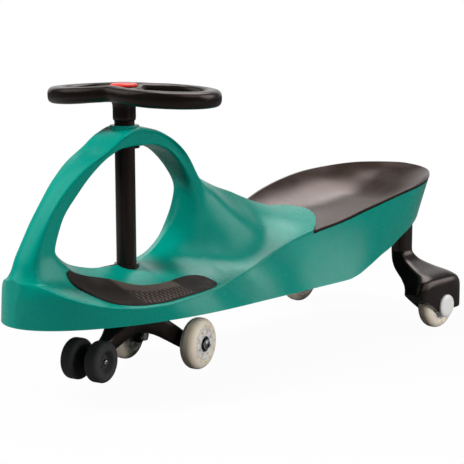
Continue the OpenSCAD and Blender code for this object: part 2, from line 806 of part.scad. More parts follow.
module rear_place(side) {
    at_column() translate([rear_x, side * rear_y, axle_z]) children();
}

module front_tyre_left() { front_place(1) wheel_tyre(); }
module front_tyre_right() { front_place(-1) wheel_tyre(); }
module front_hub_left() { front_place(1) wheel_hub(); }
module front_hub_right() { front_place(-1) wheel_hub(); }
module front_bearings_left() { front_place(1) wheel_bearings(); }
module front_bearings_right() { front_place(-1) wheel_bearings(); }
module rear_tyre_left() { rear_place(1) wheel_tyre(); }
module rear_tyre_right() { rear_place(-1) wheel_tyre(); }
module rear_hub_left() { rear_place(1) wheel_hub(); }
module rear_hub_right() { rear_place(-1) wheel_hub(); }
module rear_bearings_left() { rear_place(1) wheel_bearings(); }
module rear_bearings_right() { rear_place(-1) wheel_bearings(); }

// Bolt that a front running wheel turns on, its head outside the wheel
module front_bolt() {
    color(steel) {
        bar(axle_d, front_boss_in - front_track / 2 - nut_h, tyre_w / 2 + side_gap + overrun);
        bar(head_d, tyre_w / 2 + side_gap, tyre_w / 2 + side_gap + head_h);
    }
}

module front_bolt_left() { front_place(1) front_bolt(); }
module front_bolt_right() { front_place(-1) mirror([0, 1, 0]) front_bolt(); }

module front_nuts() {
    color(steel) for (side = [-1, 1]) steered() translate([-front_trail, 0, axle_z]) difference() {
        mirror([0, side < 0 ? 1 : 0, 0]) bar(nut_d, front_boss_in - fit_gap - nut_h,
            front_boss_in - fit_gap, 6);
        bar(axle_d + 2 * fit_gap, -front_track, front_track);
    }
}

// Stabiliser wheels: plain moulded rollers with a dished outer face
dish_share = 0.55;
dish_d = stabiliser_d * dish_share;
dish_depth = 8;
roller_round = 4;

module stabiliser_axle() {
    color(steel) steered() translate([stabiliser_lead, 0, stabiliser_z])
        bar(axle_d, -stabiliser_track / 2 - stabiliser_w / 2 + overrun,
            stabiliser_track / 2 + stabiliser_w / 2 - overrun);
}

module stabiliser_wheel() {
    half = stabiliser_w / 2;
    inside = axle_d / 2 + running_gap;
    color(black) turned() polygon([
        [inside, -half], [stabiliser_d / 2 - roller_round, -half],
        [stabiliser_d / 2, -half + roller_round], [stabiliser_d / 2, half - roller_round],
        [stabiliser_d / 2 - roller_round, half], [dish_d / 2, half],
        [dish_d / 2 - roller_round, half - dish_depth], [inside, half - dish_depth]
    ]);
}

module stabiliser_wheel_left() {
    steered() translate([stabiliser_lead, stabiliser_track / 2, stabiliser_z]) stabiliser_wheel();
}

module stabiliser_wheel_right() {
    steered() translate([stabiliser_lead, -stabiliser_track / 2, stabiliser_z])
        mirror([0, 1, 0]) stabiliser_wheel();
}

// Rear leg: a column that spreads into the wheel's housing. Rows from the top down of height,
// and of how far the front, rear, inner and outer side have passed from the column to the housing.
leg_column = [leg_column_front, leg_column_front - leg_length, leg_inner_y - rear_y,
    leg_inner_y + leg_thickness - rear_y];
leg_housing = [leg_front, leg_rear, -leg_half, leg_half];
leg_shares = [
    [1, 0, 0, 0, 0],
    [0.65, 0, 0, 0, 0],
    [0.58, 0.1, 0.12, 0.06, 0.14],
    [0.52, 0.29, 0.4, 0.21, 0.48],
    [0.475, 0.48, 0.7, 0.42, 0.84],
    [0.435, 0.68, 0.9, 0.68, 0.97],
    [0.37, 0.88, 1, 0.93, 1],
    [0.3, 1, 1, 1, 1],
    [0.15, 1, 1, 1, 1]
];
leg_points = 20;
leg_power_share = 0.35;
well_gap = 2;
well_d = tyre_d + 2 * well_gap;
leg_trim_z = 28;
leg_trim_front_z = 60;
leg_trim_run = 18;

function leg_soft(v) = sign(v) * pow(abs(v), leg_power_share);
function leg_section(row) =
    let (side = [for (c = [0:len(leg_column) - 1]) mix(leg_column[c], leg_housing[c], row[c + 1])])
    [for (k = [0:leg_points - 1]) let (a = -360 * k / leg_points) [
        (side[0] + side[1]) / 2 + (side[0] - side[1]) / 2 * leg_soft(cos(a)),
        (side[2] + side[3]) / 2 + (side[3] - side[2]) / 2 * leg_soft(sin(a)),
        leg_top_z * row[0]
    ]];

module leg_screw_places() {
    for (side = [-1, 1])
        translate([rear_x + leg_column_front - leg_length / 2 * (1 + side * screw_pitch_share), 0, screw_z])
            children();
}

module rear_leg() {
    difference() {
        translate([rear_x, rear_y, 0]) loft([for (row = leg_shares) leg_section(row)]);
        translate([rear_x, rear_y, axle_z]) {
            bar(well_d, -tyre_w / 2 - leg_gap, tyre_w / 2 + leg_gap);
            bar(axle_d + 2 * fit_gap, -leg_half - overrun, leg_half + overrun);
        }
        translate([rear_x, rear_y + tyre_d, 0]) rotate([90, 0, 0]) linear_extrude(height = 2 * tyre_d)
            polygon([
                [leg_front + overrun, 0], [leg_front + overrun, leg_trim_front_z],
                [leg_trim_run, leg_trim_z], [leg_rear - overrun, leg_trim_z], [leg_rear - overrun, 0]
            ]);
        leg_screw_places() bar(screw_d + 2 * fit_gap, leg_inner_y - overrun, leg_inner_y + screw_length);
    }
}

module rear_leg_left() { color(black) at_column() rear_leg(); }
module rear_leg_right() { color(black) at_column() mirror([0, 1, 0]) rear_leg(); }

module rear_axle() {
    color(steel) bar(axle_d, -leg_half, leg_half + axle_cap_h / 2);
}

module rear_axle_left() { rear_place(1) rear_axle(); }
module rear_axle_right() { rear_place(-1) mirror([0, 1, 0]) rear_axle(); }

module rear_axle_cap() {
    color(white) difference() {
        turned() polygon([
            [0, leg_half + fit_gap], [axle_cap_d / 2, leg_half + fit_gap],
            [axle_cap_d / 2, leg_half + axle_cap_h / 2],
            [axle_cap_d / 2 - axle_cap_h / 2, leg_half + axle_cap_h], [0, leg_half + axle_cap_h]
        ]);
        bar(axle_d + 2 * fit_gap, 0, leg_half + axle_cap_h / 2 + fit_gap);
    }
}

module rear_axle_cap_left() { rear_place(1) rear_axle_cap(); }
module rear_axle_cap_right() { rear_place(-1) mirror([0, 1, 0]) rear_axle_cap(); }

module leg_screws() {
    rib_y = leg_inner_y - fit_gap - rib_wall;
    color(steel) at_column() both_sides() leg_screw_places() {
        bar(screw_d, rib_y - fit_gap - overrun, rib_y + screw_length);
        bar(screw_head_d, rib_y - fit_gap - screw_head_h, rib_y - fit_gap);
    }
}

body_shell();
seat();
foot_pad_left();
foot_pad_right();
upper_bush();
lower_bush();
steering_column();
steering_wheel();
column_bolt();
column_washer();
hub_cap();
front_truck();
column_pin();
front_tyre_left();
front_hub_left();
front_bearings_left();
front_bolt_left();
front_tyre_right();
front_hub_right();
front_bearings_right();
front_bolt_right();
front_nuts();
stabiliser_axle();
stabiliser_wheel_left();
stabiliser_wheel_right();
rear_leg_left();
rear_axle_left();
rear_axle_cap_left();
rear_tyre_left();
rear_hub_left();
rear_bearings_left();
rear_leg_right();
rear_axle_right();
rear_axle_cap_right();
rear_tyre_right();
rear_hub_right();
rear_bearings_right();
leg_screws();
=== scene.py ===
"""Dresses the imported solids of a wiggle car: moulded body, seat, pads, steering, truck and wheels."""

import json
import math

import bmesh
import bpy
import numpy as np
from bpy.props import FloatProperty, FloatVectorProperty, IntProperty, PointerProperty
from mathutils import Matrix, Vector


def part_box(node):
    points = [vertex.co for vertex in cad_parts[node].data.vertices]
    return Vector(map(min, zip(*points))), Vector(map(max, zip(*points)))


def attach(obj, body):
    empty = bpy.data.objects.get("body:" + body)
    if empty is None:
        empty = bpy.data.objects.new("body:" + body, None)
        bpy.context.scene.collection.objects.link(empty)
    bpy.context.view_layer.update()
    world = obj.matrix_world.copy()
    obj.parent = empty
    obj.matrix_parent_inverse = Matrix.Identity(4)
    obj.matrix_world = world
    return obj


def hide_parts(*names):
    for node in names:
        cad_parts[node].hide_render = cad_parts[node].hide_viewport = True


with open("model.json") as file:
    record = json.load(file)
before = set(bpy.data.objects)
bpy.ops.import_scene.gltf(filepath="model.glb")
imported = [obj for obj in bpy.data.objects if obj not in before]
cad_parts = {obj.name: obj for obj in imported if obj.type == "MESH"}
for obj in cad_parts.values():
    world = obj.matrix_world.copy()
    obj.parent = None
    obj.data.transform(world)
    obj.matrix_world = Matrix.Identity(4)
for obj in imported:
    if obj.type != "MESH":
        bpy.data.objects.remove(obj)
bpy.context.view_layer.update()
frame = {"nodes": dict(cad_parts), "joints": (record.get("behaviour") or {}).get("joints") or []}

bl_info = {
    "name": "Wiggle car",
    "version": (1, 0, 0),
    "blender": (4, 5, 0),
    "location": "3D View > Sidebar > Wiggle car",
    "description": "Dresses the packed solids of a wiggle car",
    "category": "Object",
}


def middle(node):
    """Middle of a solid's box."""
    low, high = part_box(node)
    return (low + high) / 2


def extent(node):
    """Size of a solid's box."""
    low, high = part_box(node)
    return high - low


def joint(name):
    """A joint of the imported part."""
    return next(j for j in frame["joints"] if j["name"] == name)


COLUMN_X = middle("steering_column").x
COLUMN_LINE = np.array([COLUMN_X, 0.0, 0.0])
SPIN_AXIS = joint("front_wheel_left_spin")["axis"]
STEER = math.atan2(-SPIN_AXIS[0], SPIN_AXIS[1])
SIDES = (("left", 1), ("right", -1))


def length(name, description, default):
    """A size in metres that the user may change."""
    return FloatProperty(name=name, description=description, default=default, unit="LENGTH", precision=4)


def colour(name, description, default):
    """A colour that the user may change."""
    return FloatVectorProperty(name=name, description=description, default=default, size=3, subtype="COLOR",
                               min=0.0, max=1.0)


class BodySizes(bpy.types.PropertyGroup):
    """Sizes of the moulded body, the seat and the foot pads."""

    length: length("Length", "Length of the moulded body", extent("body_shell").x)
    width: length("Width", "Greatest width of the body", 0.252)
    arch: length("Arch height", "Height of the arch top above the floor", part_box("body_shell")[1].z)
    clearance: length("Clearance", "Height of the lower edge above the floor", 0.102)
    reach: length("Nose reach", "Reach of the nose ahead of the column", 0.189)
    band: length("Arch width", "Width across the arch band", 0.056)
    wall: length("Wall", "Wall of the moulded shell", 0.004)
    crease: length("Crease radius", "Radius of the crease round the skirt", 0.003)
    bowl: length("Seat depth", "Depth of the seat bowl", 0.046)
    seat_wall: length("Seat thickness", "Thickness of the seat moulding", 0.004)
    tongue: length("Tongue", "Reach of the tongue into the seat", 0.065)
    pad: length("Pad thickness", "Thickness of a foot pad", 0.003)
    recess: length("Pad recess", "Depth of the recess under a pad", 0.0015)


class SteeringSizes(bpy.types.PropertyGroup):
    """Sizes of the steering wheel, the column and the truck."""

    grip: length("Grip width", "Width across the steering wheel", 0.244)
    rim_width: length("Rim width", "Width of the rim's section", 0.024)
    rim_height: length("Rim height", "Height of the rim's section", 0.022)
    crown: length("Rim crown", "Rise of the rim from its ends to the hub", 0.007)
    hub_top: length("Hub top", "Height of the hub's top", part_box("steering_wheel")[1].z)
    boss: length("Boss diameter", "Diameter of the boss under the hub", 0.030)
    cap: length("Cap diameter", "Diameter of the hub cap", extent("hub_cap").x)
    column: length("Column diameter", "Diameter of the column", extent("steering_column").x)
    lead: length("Lead", "Lead of the stabiliser wheels", 0.089)
    trail: length("Trail", "Trail of the front wheels", 0.084)


class WheelSizes(bpy.types.PropertyGroup):
    """Sizes of the running wheels and the stabiliser wheels."""

    tyre: length("Tyre diameter", "Diameter of a running wheel", 0.070)
    width: length("Tyre width", "Width of a running wheel", 0.024)
    core: length("Core diameter", "Diameter of the core inside the tyre", 0.042)
    bearing: length("Bearing diameter", "Outer diameter of a bearing", 0.022)
    axle: length("Axle diameter", "Diameter of every axle", 0.008)
    roller: length("Stabiliser diameter", "Diameter of a stabiliser wheel", 0.053)
    roller_width: length("Stabiliser width", "Width of a stabiliser wheel", 0.020)
    slots: IntProperty(name="Core slots", description="Slots round a core's face", default=8, min=3, max=16)


class FinishColours(bpy.types.PropertyGroup):
    """Colours of the finishes."""

    body: colour("Body", "Moulded body", (0.0, 0.255, 0.195))
    seat: colour("Seat", "Seat moulding", (0.034, 0.0235, 0.020))
    pad: colour("Pads", "Foot pads", (0.018, 0.0145, 0.013))
    frame: colour("Frame", "Wheel, column, truck and legs", (0.0065, 0.0052, 0.0047))
    tyre: colour("Tyre", "Cast tyres", (0.96, 0.83, 0.69))
    core: colour("Core", "Wheel cores", (0.86, 0.82, 0.78))
    cap: colour("Hub cap", "Hub cap", (0.72, 0.03, 0.014))
    lid: colour("Axle cap", "Axle caps", (0.88, 0.87, 0.85))
    steel: colour("Steel", "Bolts, nuts and axles", (0.62, 0.62, 0.63))


# The body's curves: the share of the length from the nose, and there a share of a width, of the rise or of a depth.
NOSE_SHARE, TAIL_SHARE = 0.35, 0.175
CREASE_WIDTH = [
    (0, 0.9), (0.004, 0.9), (0.009, 0.9), (0.014, 0.9), (0.0185, 0.9), (0.0225, 0.905), (0.033, 0.93),
    (0.0545, 0.985), (0.13, 1), (0.165, 0.995), (0.24, 0.937), (0.29, 0.886), (0.34, 0.81), (0.384, 0.73),
    (0.43, 0.667), (0.48, 0.65), (0.53, 0.675), (0.582, 0.722), (0.632, 0.778), (0.683, 0.833), (0.734, 0.884),
    (0.79, 0.905), (0.886, 0.91), (1, 0.92)]
LOWER_WIDTH = [(0, 1), (0.6, 1), (0.7, 0.95), (0.8, 0.86), (0.9, 0.76), (1, 0.62)]
LOWER_HEIGHT = [
    (0, 0), (0.63, 0), (0.66, 0.012), (0.7, 0.05), (0.742, 0.095), (0.773, 0.12), (0.823, 0.18), (0.876, 0.23),
    (1, 0.34)]
CREASE_HEIGHT = [
    (0, 0.235), (0.004, 0.235), (0.009, 0.237), (0.014, 0.238), (0.0185, 0.236), (0.0225, 0.23), (0.033, 0.2),
    (0.0545, 0.162), (0.09, 0.12), (0.1255, 0.098), (0.165, 0.088), (0.2, 0.088), (0.244, 0.097), (0.31, 0.106),
    (0.366, 0.124), (0.424, 0.148), (0.491, 0.217), (0.546, 0.279), (0.585, 0.312), (0.643, 0.35), (0.714, 0.414),
    (0.788, 0.468), (0.846, 0.499), (0.916, 0.527), (0.967, 0.547), (1, 0.553)]
RIDGE_HEIGHT = [
    (0, 0.24), (0.004, 0.255), (0.009, 0.275), (0.014, 0.305), (0.019, 0.345), (0.036, 0.44), (0.053, 0.45),
    (0.065, 0.43), (0.0786, 0.38), (0.094, 0.33), (0.113, 0.285), (0.138, 0.255), (0.17, 0.233), (0.208, 0.226),
    (0.262, 0.226), (0.286, 0.25), (0.31, 0.3), (0.329, 0.36), (0.347, 0.43), (0.36, 0.53), (0.373, 0.63),
    (0.387, 0.69), (0.402, 0.69), (0.426, 0.64), (0.451, 0.595), (0.489, 0.54), (0.528, 0.485), (0.568, 0.437),
    (0.608, 0.404), (0.65, 0.388), (0.7, 0.38), (1, 0.38)]
FIN_WIDTH = [
    (0, 0.5), (0.014, 0.45), (0.019, 0.43), (0.036, 0.4), (0.06, 0.38), (0.1, 0.42), (0.3, 0.48), (0.37, 0.55),
    (0.4, 0.64), (0.43, 0.8), (0.49, 1), (1, 1.2)]
FLANK = [
    (0, 1), (0.014, 1), (0.019, 0.5), (0.03, 0.4), (0.08, 0.5), (0.11, 0.8), (0.14, 1), (0.3, 1), (0.345, 0.75),
    (0.376, 0.45), (0.404, 0.4), (0.43, 0.5), (0.49, 0.8), (0.53, 1), (1, 1)]
BOWL_DEPTH = [
    (0, 0.4), (0.5, 0.4), (0.61, 0.62), (0.672, 0.76), (0.735, 0.9), (0.811, 1), (0.886, 0.9), (0.95, 0.5),
    (0.985, 0.2), (1, 0)]
# The arch, from its front foot to its rear foot: outer edge, inner edge and half width; then its half section, with
# how far each corner is hollowed.
ARCH_ROWS = [
    (0.99, 0.465, 0.69, 0.43, 0.4), (0.935, 0.54, 0.688, 0.53, 0.4), (0.853, 0.617, 0.672, 0.585, 0.35),
    (0.728, 0.716, 0.608, 0.677, 0.3), (0.566, 0.819, 0.487, 0.766, 0.36), (0.423, 0.88, 0.376, 0.835, 0.43),
    (0.27, 0.925, 0.238, 0.892, 0.48), (0.13, 0.975, 0.11, 0.917, 0.5), (0, 1, -0.02, 0.92, 0.5),
    (-0.15, 0.987, -0.16, 0.917, 0.49), (-0.295, 0.953, -0.29, 0.895, 0.48), (-0.43, 0.9, -0.4, 0.85, 0.47),
    (-0.54, 0.835, -0.49, 0.785, 0.46), (-0.645, 0.755, -0.555, 0.71, 0.44), (-0.76, 0.66, -0.62, 0.62, 0.36)]
ARCH_SIDE = [
    (0, 1, 0), (0.32, 0.98, 0), (0.9, 0.84, 0), (1, 0.66, 0), (0.95, 0.3, -0.14), (0.88, -0.3, -0.12),
    (0.82, -0.8, 0), (0.62, -1, 0), (0, -1, 0)]
ARCH_CORNER, FRONT_HOLLOW, REAR_ROWS = 0.09, 0.35, (9, 11)
# A pad's inner and outer edge, as shares of the half width.
PAD_INNER = [
    (0.0865, 0.27), (0.1, 0.21), (0.125, 0.19), (0.15, 0.2), (0.17, 0.24), (0.185, 0.33), (0.2, 0.42),
    (0.22, 0.485), (0.247, 0.52), (0.272, 0.52), (0.293, 0.54), (0.312, 0.6), (0.325, 0.69), (0.332, 0.86)]
PAD_OUTER = [
    (0.0865, 0.3), (0.0937, 0.4), (0.1036, 0.58), (0.1146, 0.78), (0.1268, 0.865), (0.157, 0.915), (0.19, 0.935),
    (0.25, 0.94), (0.31, 0.94), (0.325, 0.93), (0.332, 0.89)]
# Shares of the length: root of the tongue, where the saddle turns into the bowl, and first and last stations.
TONGUE_SHARE, BOWL_START, BOWL_END, SEAT_LEAD, FIRST = 0.582, 0.665, 0.70, 0.03, 0.0002
HOLLOW_START, HOLLOW_END, ROOF_SHARE, END_CROWDING = 0.02, 0.988, 0.8, 0.85
# A leg's height, and how far its front, rear, inner and outer faces have gone from column to housing there.
LEG_ROWS = [
    (1, 0, 0, 0, 0), (0.65, 0, 0, 0, 0), (0.58, 0.1, 0.12, 0.06, 0.14), (0.52, 0.29, 0.4, 0.21, 0.48),
    (0.475, 0.48, 0.7, 0.42, 0.84), (0.435, 0.68, 0.9, 0.68, 0.97), (0.37, 0.88, 1, 0.93, 1), (0.3, 1, 1, 1, 1),
    (0.15, 1, 1, 1, 1)]


def mix(a, b, t):
    """The value a share t of the way from a to b."""
    return a + (b - a) * t


def smooth(a, b, x):
    """A soft step from 0 at a to 1 at b."""
    t = np.clip((np.asarray(x, float) - a) / (b - a), 0, 1)
    return t * t * (3 - 2 * t)


def curve(table, x):
    """A cubic through the table's points; each slope is the harmonic mean of its neighbours, so nothing
    overshoots."""
    xs, ys = np.asarray(table, float).T
    rate = np.diff(ys) / np.diff(xs)
    product = rate[:-1] * rate[1:]
    total = np.where(product > 0, rate[:-1] + rate[1:], 1)
    slope = np.concatenate([rate[:1], np.where(product > 0, 2 * product / total, 0), rate[-1:]])
    x = np.asarray(x, float)
    i = np.clip(np.searchsorted(xs, x, side="right") - 1, 0, len(xs) - 2)
    run = xs[i + 1] - xs[i]
    u = (x - xs[i]) / run
    v = 1 - u
    return (ys[i] * v * v * (1 + 2 * u) + ys[i + 1] * u * u * (1 + 2 * v)
            + run * u * v * (slope[i] * v - slope[i + 1] * u))


def soft(v, power):
    """A sine or cosine squared off towards a box."""
    return np.sign(v) * np.abs(v) ** power


class BodyForm:
    """The body's heights and widths by share s of its length from the nose and distance y from the middle."""

    def __init__(self, sizes):
        self.z = sizes
        self.rise = sizes.arch - sizes.clearance

    def x(self, s):
        """Place ahead of the column."""
        return self.z.reach - self.z.length * np.asarray(s, float)

    def share(self, x):
        """Share of the length at a distance ahead of the column."""
        return (self.z.reach - x) / self.z.length

    def plan(self, s):
        """Plan outline: a quarter ellipse at the nose, another at the tail, straight between."""
        s = np.asarray(s, float)
        nose = np.sqrt(np.clip(1 - ((NOSE_SHARE - s) / NOSE_SHARE) ** 2, 0, None))
        tail = np.sqrt(np.clip(1 - ((s - 1 + TAIL_SHARE) / TAIL_SHARE) ** 2, 0, None))
        return np.where(s < NOSE_SHARE, nose, np.where(s > 1 - TAIL_SHARE, tail, 1.0))

    def half(self, s, table):
        """Half width of an edge."""
        return self.z.width / 2 * self.plan(s) * curve(table, s)

    def height(self, s, table):
        """Height of an edge."""
        return self.z.clearance + self.rise * curve(table, s)

    def flank(self, s, y):
        """Share of the rise that spreads over the whole flank."""
        a = np.minimum(1, np.abs(y) / self.half(s, CREASE_WIDTH))
        return curve(FLANK, s) * (1 - a) ** 1.5

    def saddle(self, s, y):
        """Saddle, tray and nose: a fin in the middle on a flank that falls to the crease."""
        a = np.minimum(1, np.abs(y) / self.half(s, CREASE_WIDTH))
        fin = (1 - a ** 6) / (1 + (np.abs(y) / (self.z.band * curve(FIN_WIDTH, s))) ** 6)
        crease = self.height(s, CREASE_HEIGHT)
        rise = self.height(s, RIDGE_HEIGHT) - crease
        return crease + rise * ((1 - curve(FLANK, s)) * fin + self.flank(s, y))

    def bowl(self, s, y):
        """Seat bowl: flat in the middle, climbing with the cube of the distance to the rim."""
        a = np.minimum(1, np.abs(y) / self.half(s, CREASE_WIDTH))
        return self.height(s, CREASE_HEIGHT) - self.z.bowl * curve(BOWL_DEPTH, s) * (1 - a ** 3)

    def top(self, s, y):
        """Saddle that gives way to the bowl."""
        return mix(self.saddle(s, y), self.bowl(s, y), smooth(BOWL_START, BOWL_END, s))

    def roof(self, s, y):
        """Roof of the hollow under the shell."""
        crease = self.height(s, CREASE_HEIGHT)
        rise = np.maximum(0, self.height(s, RIDGE_HEIGHT) - crease)
        below = smooth(TONGUE_SHARE - SEAT_LEAD, TONGUE_SHARE, s)
        tray = crease + rise * ROOF_SHARE * self.flank(s, y)
        return mix(tray, self.bowl(s, y) - self.z.seat_wall, below) - self.z.wall

    def stations(self, count):
        """Shares of the length, close together at the rounded nose and tail."""
        t = np.linspace(0, 1, count)
        return mix(FIRST, 1 - FIRST, mix(t, (1 - np.cos(np.pi * t)) / 2, END_CROWDING))

    def across(self, s, w, flanks, fins):
        """Distances from the edge w to the middle, closest where the fin is steep."""
        foot = 1.6 * np.minimum(self.z.band * curve(FIN_WIDTH, s), 0.45 * w)
        outer = mix(w, foot, np.arange(flanks) / flanks)
        return np.concatenate([outer, mix(foot, 0, np.linspace(0, 1, fins + 1))], axis=-1)

    def skin(self, count=300, wall=20, flanks=30, fins=40):
        """Outer loop at each station: up the side wall, over the crease and across the top."""
        s = self.stations(count)[:, None]
        w = self.half(s, CREASE_WIDTH)
        r = np.minimum(self.z.crease, w / 2)
        z = self.height(s, CREASE_HEIGHT)
        low = np.minimum(self.height(s, LOWER_HEIGHT), z - 2 * r)
        t = np.linspace(0, 1, wall + 1)[None, :]
        y = self.across(s, w - r, flanks, fins)
        k = np.linspace(0, 1, 7)[None, 1:-1]
        edge = self.top(s, w - r)
        half_y = np.concatenate([mix(self.half(s, LOWER_WIDTH), w, t), w - r * k ** 2, y], axis=1)
        bend = (z - r) * (1 - k) ** 2 + 2 * z * k * (1 - k) + edge * k ** 2
        half_z = np.concatenate([mix(low, z - r, t), bend, self.top(s, y)], axis=1)
        return self.loop(s, half_y, half_z)

    def hollow(self, count=90):
        """Inner loop at each station: the side wall and the roof moved in by the wall."""
        s = self.stations(count)
        s = s[(s > HOLLOW_START) & (s < HOLLOW_END)][:, None]
        w = self.half(s, CREASE_WIDTH) - self.z.wall
        edge = self.half(s, LOWER_WIDTH) - self.z.wall
        low = np.full_like(s, self.z.clearance - self.z.band)
        y = self.across(s, w - self.z.crease, 8, 10)
        half_y = np.concatenate([edge, edge, y], axis=1)
        roof = np.maximum(low + 0.001, self.roof(s, y))
        half_z = np.concatenate([low, self.height(s, LOWER_HEIGHT), roof], axis=1)
        return self.loop(s, half_y, half_z)

    def loop(self, s, half_y, half_z):
        """Mirrors a half section and puts it at its station."""
        y = np.concatenate([-half_y, half_y[:, -2::-1]], axis=1)
        z = np.concatenate([half_z, half_z[:, -2::-1]], axis=1)
        return np.stack([np.broadcast_to(self.x(s), y.shape), y, z], axis=-1)

    def arch(self, steps=220):
        """Ribbon section carried along the arch, between its outer and its inner edge; its sides are hollowed
        under the ribbon's edges, most in the rear pillar."""
        u = np.linspace(0, len(ARCH_ROWS) - 1, steps)
        reach = (self.z.reach, self.z.arch, self.z.reach, self.z.arch, self.z.band)
        rows = [k * curve([(i, row[c]) for i, row in enumerate(ARCH_ROWS)], u) for c, k in enumerate(reach)]
        outer = np.stack([rows[0], 0 * u, rows[1]], -1)[:, None]
        inner = np.stack([rows[2], 0 * u, rows[3]], -1)[:, None]
        half = np.array(ARCH_SIDE)
        hollowed = np.stack([half[:, 0] + half[:, 2], half[:, 1]], -1)
        plain, deep = [rounded(np.concatenate([one, (one * np.array([-1.0, 1.0]))[-2:0:-1]]), ARCH_CORNER)
                       for one in (half[:, :2], hollowed)]
        loop = mix(plain, deep, mix(FRONT_HOLLOW, 1, smooth(*REAR_ROWS, u))[:, None, None])
        side = np.array([0.0, 1.0, 0.0]) * rows[4][:, None, None]
        return (outer + inner) / 2 + (outer - inner) / 2 * loop[..., 1:] + side * loop[..., :1]


def at_column(points):
    """Moves points from the column's line to their place on the car."""
    return points + COLUMN_LINE


def sided(points, sign=-1):
    """The same points on the left-hand side with sign 1, or mirrored to the right-hand side with sign -1."""
    return points * np.array([1.0, sign, 1.0])


def turning(angle):
    """Matrix that turns rows of points about Z."""
    c, s = math.cos(angle), math.sin(angle)
    return np.array([[c, s, 0.0], [-s, c, 0.0], [0.0, 0.0, 1.0]])


def steered(points):
    """Turns points with the steering, then moves them to their place."""
    return at_column(points @ turning(STEER))


def set_in_place(points, place, turn, sign=1):
    """Puts local points on their side, turns them about Z and moves them to their place."""
    return sided(points, sign) @ turning(turn) + place


def circle(count):
    """Angles round a full turn, as a row."""
    return np.linspace(0, 2 * np.pi, count, endpoint=False)[None, :]


def turned(profile, count=96):
    """Carries a closed profile of radius and place along Y round the Y axis."""
    a = circle(count)
    radius, along = np.asarray(profile, float).T[:, :, None]
    return np.stack([radius * np.cos(a), along + 0 * a, radius * np.sin(a)], -1)


def upright(profile, count=96):
    """Carries a closed profile of radius and height round the Z axis."""
    return turned(profile, count)[..., [0, 2, 1]]


def drum(radius, low, high, *corners):
    """Profile of a drum between two ends, with radii for its lower and its upper corner where they have their own."""
    return [(0, low), (radius, low, *corners[:1]), (radius, high, *corners[1:]), (0, high)]


def rounded(corners, radius, steps=5):
    """A closed outline of corners (two coordinates and an optional radius of their own); each corner is a parabola
    between the points that lie its radius away along its two sides."""
    points = np.array([c[:2] for c in corners], float)
    radii = np.array([c[2] if len(c) > 2 else radius for c in corners], float)
    before, after = np.roll(points, 1, 0) - points, np.roll(points, -1, 0) - points
    n0, n1 = np.linalg.norm(before, axis=1), np.linalg.norm(after, axis=1)
    cut = np.minimum(radii, 0.45 * np.minimum(n0, n1))[:, None, None]
    a = points[:, None] + before[:, None] / n0[:, None, None] * cut
    b = points[:, None] + after[:, None] / n1[:, None, None] * cut
    t = np.linspace(0, 1, steps)[None, :, None]
    return (a * (1 - t) ** 2 + 2 * points[:, None] * t * (1 - t) + b * t ** 2).reshape(-1, 2)


def surface(name, points, around=True, along=False, ends=True):
    """Puts a grid of points into a mesh: its rows may close on themselves, and its ends may be faced. Doubles are
    merged and the faces turned outwards."""
    rows, cols = points.shape[:2]
    i, j = np.meshgrid(np.arange(rows if along else rows - 1), np.arange(cols if around else cols - 1), indexing="ij")
    row, after, beside = i * cols, (i + 1) % rows * cols, (j + 1) % cols
    faces = np.stack([row + j, row + beside, after + beside, after + j], -1).reshape(-1, 4).tolist()
    if ends and not along:
        faces += [list(range(cols)), list(range((rows - 1) * cols, rows * cols))]
    mesh = bpy.data.meshes.new(name)
    mesh.from_pydata(points.reshape(-1, 3), [], faces)
    work = bmesh.new()
    work.from_mesh(mesh)
    bmesh.ops.remove_doubles(work, verts=work.verts, dist=1e-6)
    bmesh.ops.dissolve_degenerate(work, edges=work.edges, dist=1e-7)
    bmesh.ops.recalc_face_normals(work, faces=work.faces)
    work.to_mesh(mesh)
    work.free()
    piece = bpy.data.objects.new(name, mesh)
    bpy.context.scene.collection.objects.link(piece)
    return piece


def settled(piece):
    """Takes the result of the modifiers into the piece's own mesh."""
    mesh = bpy.data.meshes.new_from_object(piece.evaluated_get(bpy.context.evaluated_depsgraph_get()))
    piece.modifiers.clear()
    old, piece.data = piece.data, mesh
    bpy.data.meshes.remove(old)
    return piece


def joined(piece, *others):
    """Puts several closed meshes into one piece, still overlapping."""
    work = bmesh.new()
    for one in (piece, *others):
        work.from_mesh(one.data)
    work.to_mesh(piece.data)
    work.free()
    for one in others:
        bpy.data.objects.remove(one)
    return piece


def combined(piece, other, how="DIFFERENCE"):
    """Cuts or unites two closed solids and removes the second."""
    before = len(piece.data.vertices)
    step = piece.modifiers.new("combined", "BOOLEAN")
    step.operation, step.solver, step.object = how, "MANIFOLD", other
    settled(piece)
    bpy.data.objects.remove(other)
    if len(piece.data.vertices) == before:
        raise RuntimeError(f"{piece.name}: the solids could not be combined")


def remeshed(piece, size, rounds):
    """Lays an even skin of small faces over overlapping solids and relaxes it."""
    step = piece.modifiers.new("skin", "REMESH")
    step.mode, step.voxel_size, step.adaptivity = "VOXEL", size, 0.0
    relaxed(settled(piece), rounds)


def places(piece):
    """The piece's points as an array."""
    flat = np.empty(len(piece.data.vertices) * 3)
    piece.data.vertices.foreach_get("co", flat)
    return flat.reshape(-1, 3)


def relaxed(piece, rounds, weight=None, share=0.5):
    """Moves each point a share of the way to the middle of its neighbours, many times; weight eases it by point."""
    points = places(piece)
    ends = np.empty(len(piece.data.edges) * 2, dtype=np.int64)
    piece.data.edges.foreach_get("vertices", ends)
    a, b = ends.reshape(-1, 2).T
    start, stop, n = np.concatenate([a, b]), np.concatenate([b, a]), len(points)
    count = np.maximum(1, np.bincount(start, minlength=n))[:, None]
    pull = share if weight is None else share * weight(points)[:, None]
    for _ in range(rounds):
        total = np.stack([np.bincount(start, weights=points[stop, k], minlength=n) for k in range(3)], -1)
        points = points + (total / count - points) * pull
    piece.data.vertices.foreach_set("co", points.ravel())
    piece.data.update()


